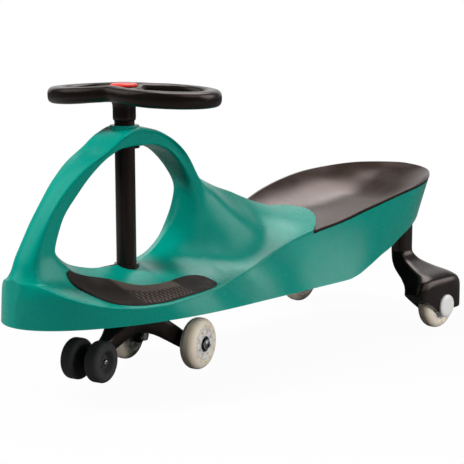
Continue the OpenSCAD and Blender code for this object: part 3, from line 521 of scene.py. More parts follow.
def smoothed(piece, angle=40.0):
    """Smooth shading, with edges sharper than the angle kept."""
    piece.data.shade_smooth()
    piece.data.set_sharp_from_angle(angle=math.radians(angle))
    return piece


class Tree:
    """The nodes and links of one shader, with the few nodes that the finishes are built from."""

    def __init__(self, tree):
        self.nodes, self.links = tree.nodes, tree.links

    def put(self, socket, value):
        """Sets a socket to a number or a colour, or links another socket to it."""
        if isinstance(value, (int, float, tuple)):
            socket.default_value = value
        else:
            self.links.new(value, socket)

    def add(self, kind, **settings):
        """A new node with its settings."""
        node = self.nodes.new("ShaderNode" + kind)
        for name, value in settings.items():
            setattr(node, name, value)
        return node

    def fed(self, node, **values):
        """Feeds a node's sockets by name, with underscores for spaces."""
        for name, value in values.items():
            self.put(node.inputs[name.replace("_", " ")], value)
        return node

    def noise(self, place, scale, detail=3.0, rough=0.55):
        """A noise texture on the given place."""
        node = self.fed(self.add("TexNoise"), Vector=place, Scale=scale, Detail=detail, Roughness=rough)
        return node.outputs["Fac"]

    def reckon(self, how, *terms, clamp=False):
        """A Math node of numbers and sockets."""
        node = self.add("Math", operation=how, use_clamp=clamp)
        for socket, term in zip(node.inputs, terms):
            self.put(socket, term)
        return node.outputs[0]

    def times(self, *terms):
        """The product of two values."""
        return self.reckon("MULTIPLY", *terms)

    def ranged(self, value, low, high, to_low=0.0, to_high=1.0):
        """A Map Range node that eases a value between limits."""
        node = self.fed(self.add("MapRange", interpolation_type="SMOOTHSTEP"), Value=value, From_Min=low,
                        From_Max=high, To_Min=to_low, To_Max=to_high)
        return node.outputs["Result"]

    def tinted(self, factor, first, second):
        """A colour Mix node of sockets and colours."""
        node = self.add("Mix", data_type="RGBA")
        for index, value in ((0, factor), (6, first), (7, second)):
            self.put(node.inputs[index], (*value, 1.0) if isinstance(value, tuple) else value)
        return node.outputs[2]

    def layer(self, name, output):
        """An attribute of the mesh."""
        return self.add("Attribute", attribute_name=name).outputs[output]


def build_grain(tree, given, result):
    """Moulding grain: fine pits, cloudy tone and a cloudy gloss."""
    cloud = tree.noise(given["Place"], 14.0, 3.0, 0.5)
    streak = tree.noise(given["Place"], 46.0, 2.0, 0.6)
    tone = tree.reckon("ADD", tree.times(cloud, 0.7), tree.times(streak, 0.3))
    tree.put(result["Height"], tree.noise(given["Place"], given["Scale"], 4.0, 0.6))
    tree.put(result["Tone"], tree.ranged(tone, 0.3, 0.7))
    tree.put(result["Gloss"], tree.ranged(streak, 0.25, 0.75))


def build_rubbed_edge_and_highlight(tree, given, result):
    """Mask of rubbed edges, and of the painted crease highlight on the green moulding: where the surface is sharply
    convex, broken up by noise.
    """
    edge = tree.ranged(tree.add("NewGeometry").outputs["Pointiness"], given["From"], given["To"])
    rub = tree.ranged(tree.noise(given["Place"], 60.0, 4.0, 0.6), 0.3, 0.65, 0.35, 1.0)
    tree.put(result["Mask"], tree.times(edge, rub))


def build_scuff(tree, given, result):
    """Scuffs: thin scratches from a stretched noise, in patches."""
    turn = tree.fed(tree.add("Mapping"), Rotation=(0.3, 0.5, 0.7), Scale=(24.0, 420.0, 210.0), Vector=given["Place"])
    lines = tree.ranged(tree.noise(turn.outputs["Vector"], 1.0, 2.0, 0.5), 0.64, 0.74)
    patch = tree.ranged(tree.noise(given["Place"], 9.0, 2.0), 0.45, 0.7)
    tree.put(result["Mask"], tree.times(lines, patch))


# The groups that the finishes share: name, builder, number inputs and outputs.
SHARED_GROUPS = (
    ("moulding_grain", build_grain, {"Scale": 900.0}, ("Height", "Tone", "Gloss")),
    ("edge_wear", build_rubbed_edge_and_highlight, {"From": 0.52, "To": 0.6}, ("Mask",)),
    ("scuffs", build_scuff, {}, ("Mask",)))


def node_group(name, build, inputs, outputs):
    """Makes a shader node group of a place and numbers, once."""
    group = bpy.data.node_groups.get(name)
    if group is None:
        group = bpy.data.node_groups.new(name, "ShaderNodeTree")
        sockets = group.interface
        sockets.new_socket("Place", in_out="INPUT", socket_type="NodeSocketVector")
        for label, default in inputs.items():
            sockets.new_socket(label, in_out="INPUT", socket_type="NodeSocketFloat").default_value = default
        for label in outputs:
            sockets.new_socket(label, in_out="OUTPUT", socket_type="NodeSocketFloat")
        build(Tree(group), group.nodes.new("NodeGroupInput").outputs, group.nodes.new("NodeGroupOutput").inputs)
    return group


# What the patterns add: the foot pads' painted sheen, and on a wheel colours with the radii where they lie: the ends
# of a step, or a ring and its half width.
PAINTED_SHEEN_BROWN, PAINTED_SHEEN_SHARE = (0.105, 0.078, 0.066), 0.85
TREAD_EDGE, TREAD_TAN = (0.030, 0.0352), (0.62, 0.46, 0.33)
CORE_EDGE, CORE_PALE = (0.0215, 0.0245), (0.84, 0.76, 0.68)
WINDOW_RING, WINDOWS, WINDOW_BROWN = (0.0248, 0.0013), 12.0, (0.42, 0.28, 0.18)
SHIELD_RING, SHIELD_DARK = (0.0076, 0.0020), (0.03, 0.027, 0.025)


def wheel_polar(tree):
    """Radius and angle round the axle, from the wheel's own place."""
    parts = tree.add("SeparateXYZ")
    tree.put(parts.inputs[0], tree.layer("wheel_place", "Vector"))
    x, z = parts.outputs["X"], parts.outputs["Z"]
    radius = tree.reckon("SQRT", tree.reckon("ADD", tree.times(x, x), tree.times(z, z)))
    return radius, tree.reckon("ARCTAN2", z, x)


def pad_painted_sheen(tree, shade):
    """Foot pad: painted sheen, with the tread's ribs and plain band painted a paler brown as if they reflected light.
    """
    return tree.tinted(tree.times(tree.layer("tread", "Fac"), PAINTED_SHEEN_SHARE), shade, PAINTED_SHEEN_BROWN)


def anchor_dots(tree, shade):
    """Cast tyre: darker at the tread, paler over the core, with the core's anchor windows showing through."""
    radius, angle = wheel_polar(tree)
    shade = tree.tinted(tree.times(tree.ranged(radius, *TREAD_EDGE), 0.3), shade, TREAD_TAN)
    pale = tree.reckon("SUBTRACT", 1.0, tree.ranged(radius, *CORE_EDGE))
    shade = tree.tinted(tree.times(pale, 0.5), shade, CORE_PALE)
    ring = tree.reckon("COMPARE", radius, *WINDOW_RING)
    spots = tree.ranged(tree.reckon("COSINE", tree.times(angle, WINDOWS)), 0.35, 0.8)
    return tree.tinted(tree.times(tree.times(ring, spots), 0.4), shade, WINDOW_BROWN)


def bearing_rings(tree, shade):
    """Bearing: bright races with a dark shield between them."""
    radius, _ = wheel_polar(tree)
    return tree.tinted(tree.reckon("COMPARE", radius, *SHIELD_RING), shade, SHIELD_DARK)


# Tint of the dark mouldings' sheen; then each finish: its colour by name, and what differs from a plain one.
WARM = (1.0, 0.75, 0.68)
FINISHES = {
    # The green moulding's paler green at sharp edges is a painted highlight along its creases.
    "green_moulding": dict(base="body", roughness=0.27, spread=0.03, tone=0.05, grain=1100.0, depth=0.015, wear=0.3,
                           worn_and_highlight_colour=(0.0, 0.36, 0.29), scuff=0.02, sheen=0.25),
    "seat_plastic": dict(base="seat", roughness=0.21, spread=0.03, tone=0.12, grain=2200.0, depth=0.012, wear=0.3,
                         worn_and_highlight_colour=(0.06, 0.045, 0.04), scuff=0.05, tint=WARM),
    # The pads' paler brown tread is painted sheen.
    "pad_rubber": dict(base="pad", roughness=0.55, tone=0.2, grain=1900.0, depth=0.12, wear=0.5,
                       worn_and_highlight_colour=(0.05, 0.04, 0.034), scuff=0.1, sheen=0.1, tint=WARM, extra=pad_painted_sheen),
    "black_moulding": dict(base="frame", roughness=0.22, spread=0.04, tone=0.18, grain=1500.0, depth=0.01, wear=0.15,
                           worn_and_highlight_colour=(0.04, 0.032, 0.028), scuff=0.12, sheen=0.4, tint=WARM),
    "roller_black": dict(base="frame", roughness=0.42, tone=0.2, grain=1300.0, wear=0.35, worn_and_highlight_colour=(0.05, 0.043, 0.04),
                         sheen=0.4, tint=WARM),
    "red_moulding": dict(base="cap", roughness=0.28, spread=0.05, tone=0.06, grain=1400.0, depth=0.02, wear=0.2,
                         worn_and_highlight_colour=(0.85, 0.12, 0.07), scuff=0.15),
    "cast_tyre": dict(base="tyre", roughness=0.33, tone=0.08, grain=700.0, depth=0.03, wear=0.2,
                      worn_and_highlight_colour=(0.86, 0.74, 0.60), under=0.35, under_scale=0.006, under_radius=(1.0, 0.72, 0.45),
                      extra=anchor_dots),
    "white_core": dict(base="core", roughness=0.38, spread=0.06, tone=0.05, grain=1200.0, depth=0.03, wear=0.2,
                       scuff=0.15, under=0.15, under_scale=0.003),
    "bearing_steel": dict(base="steel", roughness=0.25, grain=2600.0, depth=0.02, wear=0.2, worn_and_highlight_colour=(0.8, 0.8, 0.8),
                          scuff=0.3, metal=0.9, extra=bearing_rings),
    "plated_steel": dict(base="steel", roughness=0.26, spread=0.1, tone=0.12, grain=2600.0, depth=0.02, wear=0.2,
                         worn_and_highlight_colour=(0.8, 0.8, 0.8), scuff=0.3, metal=1.0),
    "white_cap": dict(base="lid", roughness=0.36, spread=0.06, tone=0.04, grain=1500.0, depth=0.02, wear=0.15,
                      scuff=0.15)}


def finish(name, base, roughness=0.4, spread=0.08, tone=0.1, grain=900.0, depth=0.05, wear=0.25, worn_and_highlight_colour=None,
           scuff=0.2, metal=0.0, sheen=0.5, tint=(1.0, 1.0, 1.0), under=0.0, under_scale=0.004,
           under_radius=(1.0, 0.7, 0.4), extra=None):
    """A finish of grain, cloudy tone, rubbed edges and scuffs on one of the scene's colours, with a bump depth in
    millimetres; on the green moulding the paler edges are a painted highlight; extra may change the colour."""
    base = tuple(getattr(bpy.context.scene.wiggle_colours, base))
    material = bpy.data.materials.new(name)
    material.use_nodes = True
    tree = Tree(material.node_tree)
    place = tree.add("TexCoord").outputs["Object"]
    texture, edge, scratch = [tree.fed(tree.add("Group", node_tree=node_group(*group)), Place=place)
                              for group in SHARED_GROUPS]
    tree.fed(texture, Scale=grain)
    low = tuple(c * (1 - tone) for c in base)
    high = tuple(min(1.0, c * (1 + tone)) for c in base)
    shade = tree.tinted(texture.outputs["Tone"], low, high)
    # Paler colour at sharp edges: rubbing, and on the green moulding a painted crease highlight.
    worn_and_highlight_colour = worn_and_highlight_colour or tuple(min(1.0, c * 1.5 + 0.03) for c in base)
    shade = tree.tinted(tree.times(edge.outputs["Mask"], wear), shade, worn_and_highlight_colour)
    if extra:
        shade = extra(tree, shade)
    gloss = tree.ranged(texture.outputs["Gloss"], 0.0, 1.0, roughness - spread, roughness + spread)
    rough = tree.reckon("ADD", gloss, tree.times(scratch.outputs["Mask"], scuff), clamp=True)
    bump = tree.fed(tree.add("Bump"), Strength=1.0, Distance=depth * 0.001, Height=texture.outputs["Height"])
    tree.fed(tree.nodes["Principled BSDF"], Base_Color=shade, Roughness=rough, Normal=bump.outputs["Normal"],
             Metallic=metal, Specular_IOR_Level=sheen, Specular_Tint=(*tint, 1.0), Subsurface_Weight=under,
             Subsurface_Scale=under_scale, Subsurface_Radius=under_radius)
    return material


def coated(piece, name):
    """Gives a piece its finish, made when it is first asked for."""
    piece.data.materials.clear()
    piece.data.materials.append(bpy.data.materials.get(name) or finish(name, **FINISHES[name]))


def dressed(piece, name, slot, body, *nodes):
    """Gives a piece its finish, its body and the solids that it stands for."""
    coated(piece, name)
    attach(piece, body)
    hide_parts(*nodes)


# Soft spots of the relaxing, from the column's line: middle and reach.
FRONT_FOOT = ((0.158, 0.0, 0.18), (0.03, 0.06, 0.035))
REAR_FOOT = ((-0.118, 0.0, 0.245), (0.035, 0.07, 0.045))
NOSE_LIP = ((0.184, 0.0, 0.16), (0.02, 0.04, 0.012))
# How strong they are, and the heights between which the relaxing fades in above the bottom edge.
FEET_PULL, FEET_FADE, LIP_PULL, LIP_FADE = 1.3, (0.115, 0.135), 1.5, (0.13, 0.145)
# The collar under the arch's head, the bores for the bushes with the lowest and highest point of each, and a pad's
# recess: the gap round the pad, the height of the cut and the gap under the pad.
COLLAR_RADIUS, COLLAR_FOOT, COLLAR_EDGE = 0.019, 0.310, 0.0012
BORE_RADIUS, BORES = 0.0162, ((0.28, 0.4), (0.1, 0.18))
PAD_GAP, PAD_CUT, PAD_FLOAT = 0.0006, 0.003, 0.0002


def spot(points, middle_and_reach):
    """A soft spot: a bell curve of the distance from its middle over its reach, 1 in the middle."""
    centre, reach = np.array(middle_and_reach)
    return np.exp(-(((points - COLUMN_LINE - centre) / reach) ** 2).sum(axis=1))


def pillar_feet(points):
    """Eases the relaxing to where the arch's pillars flow into the nose and the saddle, clear of the bottom edge."""
    feet = FEET_PULL * (spot(points, FRONT_FOOT) + spot(points, REAR_FOOT))
    return np.clip(feet, 0, 1) * smooth(*FEET_FADE, points[:, 2])


def nose_lip(points):
    """Eases the relaxing to the lip where the nose's front wall meets the pillar's face."""
    return np.clip(LIP_PULL * spot(points, NOSE_LIP), 0, 1) * smooth(*LIP_FADE, points[:, 2])


class WIGGLE_OT_body(bpy.types.Operator):
    """Moulds the body with its arch, hollow, seat recess and pad recesses"""

    bl_idname = "wiggle.body"
    bl_label = "Moulded body"

    def execute(self, context):
        sizes = context.scene.wiggle_body
        form = BodyForm(sizes)
        piece = surface("body_moulding", at_column(form.skin()))
        collar = rounded(drum(COLLAR_RADIUS, COLLAR_FOOT, sizes.arch), COLLAR_EDGE)
        combined(piece, surface("arch_band", at_column(form.arch())), "UNION")
        combined(piece, surface("collar", at_column(upright(collar))), "UNION")
        combined(piece, surface("hollow", at_column(form.hollow())))
        for _, sign in SIDES:
            for block in (seat_recess(form), pad_block(form, PAD_GAP, -sizes.recess, PAD_CUT)):
                combined(piece, surface("recess", at_column(sided(block, sign))))
        for low, high in BORES:
            combined(piece, surface("bore", at_column(upright(drum(BORE_RADIUS, low, high), count=64))))
        relaxed(piece, rounds=120, weight=pillar_feet)
        relaxed(piece, rounds=250, weight=nose_lip)
        dressed(smoothed(piece, angle=32), "green_moulding", "body_green", "body", "body_shell")
        return {"FINISHED"}


# The gap under the seat, what it gains at the crease, how far the recess runs past the body, and the lap of the
# halves; then the radius of the seat's two edges and the power of the tongue's curve.
SEAT_GAP, SEAT_SLIT, SEAT_OVER, SEAT_LAP = 0.0004, 0.0010, 0.004, 0.001
SEAT_EDGE, TONGUE_EDGE, TONGUE_POWER = 0.0022, 0.0012, 2.4


def seat_rows(form):
    """Shares of the length along the seat, and the seat's inner and outer half width there: round the tongue, a
    power curve, and out to the crease."""
    reach = form.z.tongue / form.z.length
    root = float(form.half(TONGUE_SHARE, CREASE_WIDTH))
    q = np.linspace(1, 0, 60)
    k = np.linspace(0, 1, 90)[1:]
    s = np.concatenate([TONGUE_SHARE + reach * (1 - q ** TONGUE_POWER),
                        mix(TONGUE_SHARE + reach, 1 - FIRST, 1 - (1 - k) ** 2)])
    outer = form.half(s, CREASE_WIDTH)
    inner = np.minimum(np.concatenate([root * q, 0 * k]), outer)
    return s[:, None], inner[:, None], outer[:, None]


def closed(upper, lower):
    """A sheet's upper side and its lower side as one loop at each row."""
    return np.concatenate([np.stack(upper, -1), np.stack(lower, -1)[:, ::-1]], axis=1)


def seat_recess(form):
    """Half of the room that the seat lies in, from under its sheet upwards, with a slit at the crease."""
    s, inner, outer = seat_rows(form)
    inner = inner - SEAT_GAP - np.where(inner <= 0, SEAT_LAP, 0)
    y = mix(inner, outer + SEAT_OVER, np.linspace(0, 1, 40)[None, :])
    x = form.x(s) + 0 * y
    x[-1] -= SEAT_OVER
    x[0] += SEAT_GAP
    slit = SEAT_GAP + SEAT_SLIT * smooth(0.006, 0.001, outer - y)
    return closed((x, y, 0 * y + form.z.arch), (x, y, form.bowl(s, y) - form.z.seat_wall - slit))


def edge_drop(gap, r):
    """How far an edge rounded to a quarter circle has dropped at a distance from it."""
    return r - np.sqrt(np.clip(r ** 2 - np.clip(r - gap, 0, r) ** 2, 0, None))


def seat_half(form):
    """Half of the seat: the bowl's sheet with a rounded edge at the crease and at the tongue."""
    s, inner, outer = seat_rows(form)
    free = inner > 0
    y = mix(inner - np.where(free, 0, SEAT_LAP), outer, (1 - np.cos(np.linspace(0, np.pi, 60)[None, :])) / 2)
    room = (outer - inner) / 2
    low = edge_drop(outer - y, np.minimum(SEAT_EDGE, room))
    low = low + np.where(free, edge_drop(y - inner, np.minimum(TONGUE_EDGE, np.minimum(inner, room))), 0)
    x, z = form.x(s) + 0 * y, form.bowl(s, y)
    return closed((x, y, z - low), (x, y, z - form.z.seat_wall))


def pad_edges(form, s, margin):
    """Inner and outer edge of a pad at each station."""
    w = form.half(s, CREASE_WIDTH)
    return w * curve(PAD_INNER, s) - margin, w * curve(PAD_OUTER, s) + margin


def pad_block(form, margin, low, high, rows=120, columns=24, relief=None):
    """Solid over a pad's outline that follows the tray, from one height above it to another, with a relief on top."""
    grow = margin / form.z.length
    t = np.linspace(0, 1, rows)
    s = mix(PAD_INNER[0][0] - grow, PAD_INNER[-1][0] + grow, mix(t, (1 - np.cos(np.pi * t)) / 2, 0.5))[:, None]
    inner, outer = pad_edges(form, s, margin)
    sheets = []
    for count, lift in ((columns, high), (14, low)):
        y = mix(inner, outer, np.linspace(0, 1, count)[None, :])
        z = form.top(s, y) + lift
        if relief and lift == high:
            z = z + relief(form, s, y, inner, outer)
        sheets.append((form.x(s) + 0 * y, y, z))
    return closed(*sheets)


# The tread's ribs: pitch, swing of the zigzag, its width as a share of the pad's, and height.
RIB_PITCH, RIB_SWING, RIB_WIDTH, TREAD_HEIGHT = 0.0060, 0.42, 0.17, 0.0006


def pad_tread(form, s, y):
    """Share of a pad that stands up as tread: ribs, a sine along the length whose phase zigzags across, and a plain
    band inside them."""
    inner, outer = pad_edges(form, s, 0.0)
    q = (y - inner) / np.maximum(outer - inner, 0.001)
    zigzag = np.abs((q / RIB_WIDTH) % 1 - 0.5) * 2
    wave = np.sin(2 * np.pi * (form.x(s) / RIB_PITCH + RIB_SWING * zigzag))
    ribs = smooth(-0.35, 0.35, wave) * smooth(0.97, 0.93, q)
    return np.maximum(ribs, smooth(0.42, 0.36, q)) * smooth(0.166, 0.174, s) * smooth(0.272, 0.262, s)


def pad_relief(form, s, y, inner, outer):
    """Rounded edge, a groove inside it, and the tread."""
    ends = np.minimum(s - PAD_INNER[0][0], PAD_INNER[-1][0] - s) * form.z.length
    gap = np.minimum(np.minimum(y - inner, outer - y), ends)
    edge = -0.0009 * (1 - smooth(0, 0.0016, gap))
    groove = -0.0006 * np.exp(-((gap - 0.0034) / 0.0008) ** 2)
    return edge + groove + TREAD_HEIGHT * smooth(0.0035, 0.005, gap) * pad_tread(form, s, y)


class WIGGLE_OT_seat(bpy.types.Operator):
    """Lays the seat moulding in the bowl, round the tongue"""

    bl_idname = "wiggle.seat"
    bl_label = "Seat"

    def execute(self, context):
        half = seat_half(BodyForm(context.scene.wiggle_body))
        piece = surface("seat_moulding", at_column(half))
        combined(piece, surface("seat_right", at_column(sided(half))), "UNION")
        dressed(smoothed(piece), "seat_plastic", "seat_black", "body", "seat")
        return {"FINISHED"}


class WIGGLE_OT_pads(bpy.types.Operator):
    """Lays the two foot pads with their treads in the tray"""

    bl_idname = "wiggle.pads"
    bl_label = "Foot pads"

    def execute(self, context):
        sizes = context.scene.wiggle_body
        form = BodyForm(sizes)
        block = pad_block(form, 0.0, PAD_FLOAT - sizes.recess, sizes.pad - sizes.recess, rows=320, columns=110,
                          relief=pad_relief)
        for side, sign in SIDES:
            piece = smoothed(surface(f"pad_tread_{side}", at_column(sided(block, sign))), angle=50)
            x, y, _ = places(piece).T
            # The tread's share is also the mask of the pads' painted sheen.
            layer = piece.data.attributes.new("tread", "FLOAT", "POINT")
            layer.data.foreach_set("value", pad_tread(form, form.share(x - COLUMN_X), np.abs(y)).astype(np.float32))
            dressed(piece, "pad_rubber", "pad_black", "body", f"foot_pad_{side}")
        return {"FINISHED"}


# The rim's two notches, how far its lobes lie back and its drop below the hub's top; then the hub.
NOTCH_FRONT, NOTCH_REAR, LOBE_SETBACK, RIM_DROP = 0.027, 0.036, 0.023, 0.0035
BOSS_FOOT, HUB_RADIUS, RIM_POWER = 0.3385, 0.027, 0.64


def bow(a, sizes):
    """The rim's middle line by angle: its radius goes from the lobes' to the notches' with the square of the sine,
    while the lobes are set back and the rim rises to its crown at the notches."""
    reach = (sizes.grip - sizes.rim_width) / 2
    cos, sin = np.cos(a), np.sin(a)
    r = reach * cos ** 2 + np.where(sin > 0, NOTCH_FRONT, NOTCH_REAR) * sin ** 2
    height = sizes.hub_top - RIM_DROP - sizes.rim_height / 2 + sizes.crown * sin ** 2
    return np.stack([r * sin - LOBE_SETBACK * cos ** 2, r * cos, height], -1)


def round_hub(points):
    """Eases the relaxing to where the rim meets the hub, clear of the boss's foot and the cap's seat."""
    x, y, z = (points - COLUMN_LINE).T
    ring = np.hypot(x, y)
    return smooth(0.016, 0.022, ring) * (1 - smooth(0.045, 0.075, ring)) * smooth(0.352, 0.360, z)


class WIGGLE_OT_steering_wheel(bpy.types.Operator):
    """Forms the steering wheel: a bow-tie rim that flows into its hub"""

    bl_idname = "wiggle.steering_wheel"
    bl_label = "Steering wheel"

    def execute(self, context):
        sizes = context.scene.wiggle_steering
        a = circle(320)[0]
        ahead = bow(a + 0.002, sizes) - bow(a - 0.002, sizes)
        out = np.stack([ahead[:, 1], -ahead[:, 0], 0 * a], -1)
        out /= np.linalg.norm(out, axis=1)[:, None]
        t = circle(40)[..., None]
        rim = (bow(a, sizes)[:, None] + out[:, None] * sizes.rim_width / 2 * soft(np.cos(t), RIM_POWER)
               + np.array([0.0, 0.0, sizes.rim_height / 2]) * soft(np.sin(t), RIM_POWER))
        top, boss = sizes.hub_top, sizes.boss / 2
        hub = rounded([(0, BOSS_FOOT, 0), (boss, BOSS_FOOT, 0.001), (boss, top - 0.0185, 0.006),
                       (HUB_RADIUS, top - 0.013, 0.004), (HUB_RADIUS, top - 0.003, 0.002), (0.0195, top, 0.001),
                       (0, top, 0)], 0.001)
        piece = joined(surface("steering_grip", steered(rim), along=True),
                       surface("grip_hub", steered(upright(hub, count=128))))
        remeshed(piece, size=0.0017, rounds=8)
        relaxed(piece, rounds=50, weight=round_hub)
        dressed(smoothed(piece, angle=60), "black_moulding", "frame_black", "steering", "steering_wheel")
        return {"FINISHED"}


class WIGGLE_OT_column(bpy.types.Operator):
    """Sets the hub cap and the column on the steering's line, and finishes the bushes"""

    bl_idname = "wiggle.column"
    bl_label = "Column and cap"

    def execute(self, context):
        sizes = context.scene.wiggle_steering
        top, r, plug = sizes.hub_top, sizes.cap / 2, 0.0104
        cap = rounded([(0, top - 0.002, 0), (plug, top - 0.002), (plug, top + 0.0001), (r, top + 0.0001),
                       (r, top + 0.0024, 0.0014), (r - 0.0026, top + 0.0038, 0.0014), (0, top + 0.004, 0)], 0.0003)
        piece = smoothed(surface("cap_button", steered(upright(cap, count=128))))
        dressed(piece, "red_moulding", "cap_red", "steering", "hub_cap")
        low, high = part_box("steering_column")
        tube = rounded(drum(sizes.column / 2, low.z, high.z, 0.001, 0.001), 0.0005)
        piece = smoothed(surface("column_tube", steered(upright(tube, count=128))))
        dressed(piece, "black_moulding", "frame_black", "steering", "steering_column")
        for node in ("upper_bush", "lower_bush"):
            coated(frame["nodes"][node], "black_moulding")
        return {"FINISHED"}


def beam(path, steps=120, points=48, power=0.6):
    """A squared-off ellipse carried along a curve through rows of place, half width across and half height."""
    table = np.asarray(path, float)
    u = np.linspace(0, len(table) - 1, steps)
    x, y, z, wide, tall = [curve(np.stack([np.arange(len(table)), table[:, c]], -1), u) for c in range(5)]
    line = np.stack([x, y, z], -1)
    ahead = np.gradient(line, axis=0)
    side = np.stack([ahead[:, 1], -ahead[:, 0], 0 * x], -1)
    side /= np.linalg.norm(side, axis=1)[:, None]
    up = np.cross(side, ahead)
    up /= np.linalg.norm(up, axis=1)[:, None]
    a = circle(points)[..., None]
    return (line[:, None] + side[:, None] * wide[:, None, None] * soft(np.cos(a), power)
            + up[:, None] * tall[:, None, None] * soft(np.sin(a), power))


# Height of the running wheels' axles, the truck's hub, and the bosses on its arms.
WHEEL_HEIGHT, TRUCK_HUB, TRUCK_FOOT = 0.035, 0.022, 0.063
WHEEL_BOSS = rounded(drum(0.011, 0.0312, 0.0452), 0.0012)


class WIGGLE_OT_truck(bpy.types.Operator):
    """Forms the front truck: a hub with two arched arms from the stabiliser axle to the running wheels"""

    bl_idname = "wiggle.truck"
    bl_label = "Front truck"

    def execute(self, context):
        sizes = context.scene.wiggle_steering
        lead, trail = sizes.lead, sizes.trail
        arm = beam([(lead + 0.010, 0, 0.0455, 0.0072, 0.0095), (lead, 0, 0.0455, 0.0077, 0.011),
                    (0.066, 0, 0.0500, 0.0077, 0.011), (0.048, 0.002, 0.0570, 0.0080, 0.0115),
                    (0.024, 0.009, 0.0690, 0.0080, 0.0120), (0, 0.0155, 0.0765, 0.0072, 0.0135),
                    (-0.028, 0.0235, 0.0690, 0.0070, 0.0135), (-0.056, 0.0315, 0.0530, 0.0070, 0.0125),
                    (-0.075, 0.0372, 0.0400, 0.0070, 0.0112), (-trail - 0.004, 0.0382, 0.0335, 0.0070, 0.0105)])
        boss = turned(WHEEL_BOSS) + np.array([-trail, 0.0, WHEEL_HEIGHT])
        hub = rounded(drum(TRUCK_HUB, TRUCK_FOOT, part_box("front_truck")[1].z, 0.004, 0.0015), 0.0005)
        piece = surface("truck_moulding", steered(upright(hub)))
        for _, sign in SIDES:
            joined(piece, surface("arm", steered(sided(arm, sign))), surface("boss", steered(sided(boss, sign))))
        remeshed(piece, size=0.0016, rounds=8)
        dressed(smoothed(piece, angle=60), "black_moulding", "frame_black", "steering", "front_truck")
        return {"FINISHED"}


def wheel_places(*ends):
    """End, side, place, turn and sign of the running wheels at the front or the rear."""
    for end in ends:
        for side, sign in SIDES:
            yield (end, side, np.array(joint(f"{end}_wheel_{side}_spin")["pos_m"]), STEER if end == "front" else 0.0,
                   sign)


def with_local(piece, place, turn, sign):
    """Keeps each point's place on its own wheel as an attribute, for patterns that follow the wheel."""
    local = sided((places(piece) - place) @ turning(-turn), sign)
    layer = piece.data.attributes.new("wheel_place", "FLOAT_VECTOR", "POINT")
    layer.data.foreach_set("vector", local.astype(np.float32).ravel())


def bulged(inner, outer, half, corner, inset, steps=14):
    """Half section of a cast wheel: straight sides from the inner radius, and a tread with round corners."""
    a = np.linspace(-np.pi / 2, np.pi / 2, 2 * steps)
    side = np.where(np.arange(2 * steps) < steps, corner - half, half - corner)
    tread = np.stack([outer - corner + corner * np.cos(a), side + corner * np.sin(a)], -1)
    return np.concatenate([[(inner, inset - half)], tread, [(inner, half - inset)]])


# Gaps and depths of a running wheel's pieces.
SLIP, FACE_INSET, DISH_DEPTH, BEAD, SLOT_DEPTH = 0.0001, 0.0004, 0.0012, 0.0006, 0.0045
AXLE_SLIP, RACE_DEPTH, SHIELD_DEPTH, TYRE_CORNER = 0.00004, 0.007, 0.0012, 0.010


def core_grid(sizes, count=224):
    """Core ring: face, rim, far face and bore, with slots sunk into both faces."""
    half, r0, r1 = sizes.width / 2 - FACE_INSET, sizes.bearing / 2 + SLIP, sizes.core / 2 - SLIP
    a = circle(count)
    r = np.linspace(r0, r1, 48)[:, None]
    spoke = np.abs(((a * sizes.slots / (2 * np.pi)) % 1) - 0.5) * 2 * np.pi / sizes.slots * r
    slot = (1 - smooth(0.0019, 0.0027, spoke)) * smooth(0.0134, 0.0142, r) * (1 - smooth(0.0182, 0.0190, r))
    dish = smooth(0.0126, 0.0134, r) * (1 - smooth(0.0192, 0.0204, r))
    bead = np.maximum(smooth(r1 - 0.0007, r1, r), 1 - smooth(r0, r0 + 0.0006, r))
    face = half - DISH_DEPTH * dish - BEAD * bead - SLOT_DEPTH * slot
    front = np.stack([r * np.cos(a), face, r * np.sin(a)], -1)
    return np.concatenate([front, sided(front)[::-1]], axis=0)


class WIGGLE_OT_running_wheels(bpy.types.Operator):
    """Makes the four running wheels: cast tyre, slotted core and bearings"""

    bl_idname = "wiggle.running_wheels"
    bl_label = "Running wheels"

    def execute(self, context):
        sizes = context.scene.wiggle_wheels
        half, ring, hole = sizes.width / 2, sizes.bearing / 2, sizes.axle / 2 + AXLE_SLIP
        back, face, shield = half - RACE_DEPTH, half - FACE_INSET, half - SHIELD_DEPTH
        race = rounded([(hole, back), (ring, back), (ring, face), (0.0094, face), (0.0092, shield), (0.0064, shield),
                        (0.0062, face), (hole, face)], 0.0003, 4)
        tyre = bulged(sizes.core / 2, sizes.tyre / 2, half, TYRE_CORNER, 0.001)
        for end, side, place, turn, sign in wheel_places("front", "rear"):
            for name, grid, signs, skin, slot, node in (
                    ("cast_tyre", turned(tyre, count=160), (sign,), "cast_tyre", "tyre_cream", "tyre"),
                    ("slotted_core", core_grid(sizes), (sign,), "white_core", "core_white", "hub"),
                    ("bearing", turned(race), (sign, -sign), "bearing_steel", "steel", "bearings")):
                piece = joined(*[surface(f"{name}_{end}_{side}", set_in_place(grid, place, turn, k), along=True)
                                 for k in signs])
                with_local(smoothed(piece), place, turn, sign)
                dressed(piece, skin, slot, f"{end}_wheel_{side}", f"{end}_{node}_{side}")
        return {"FINISHED"}


# A stabiliser wheel's tread and dish, and the bevelled ends of its axle.
ROLLER_CORNER, ROLLER_DISH, DISH_FLOOR, ROLLER_HUB, ARC_STEPS = 0.0058, 0.0146, 0.0078, 0.0050, 9
PIN_NECK, PIN_BEVEL = 0.0028, 0.0018


def reach_across(node):
    """Half the length of a solid along the steered cross direction."""
    points = places(frame["nodes"][node]) @ np.array([-math.sin(STEER), math.cos(STEER), 0.0])
    return float(points.max() - points.min()) / 2


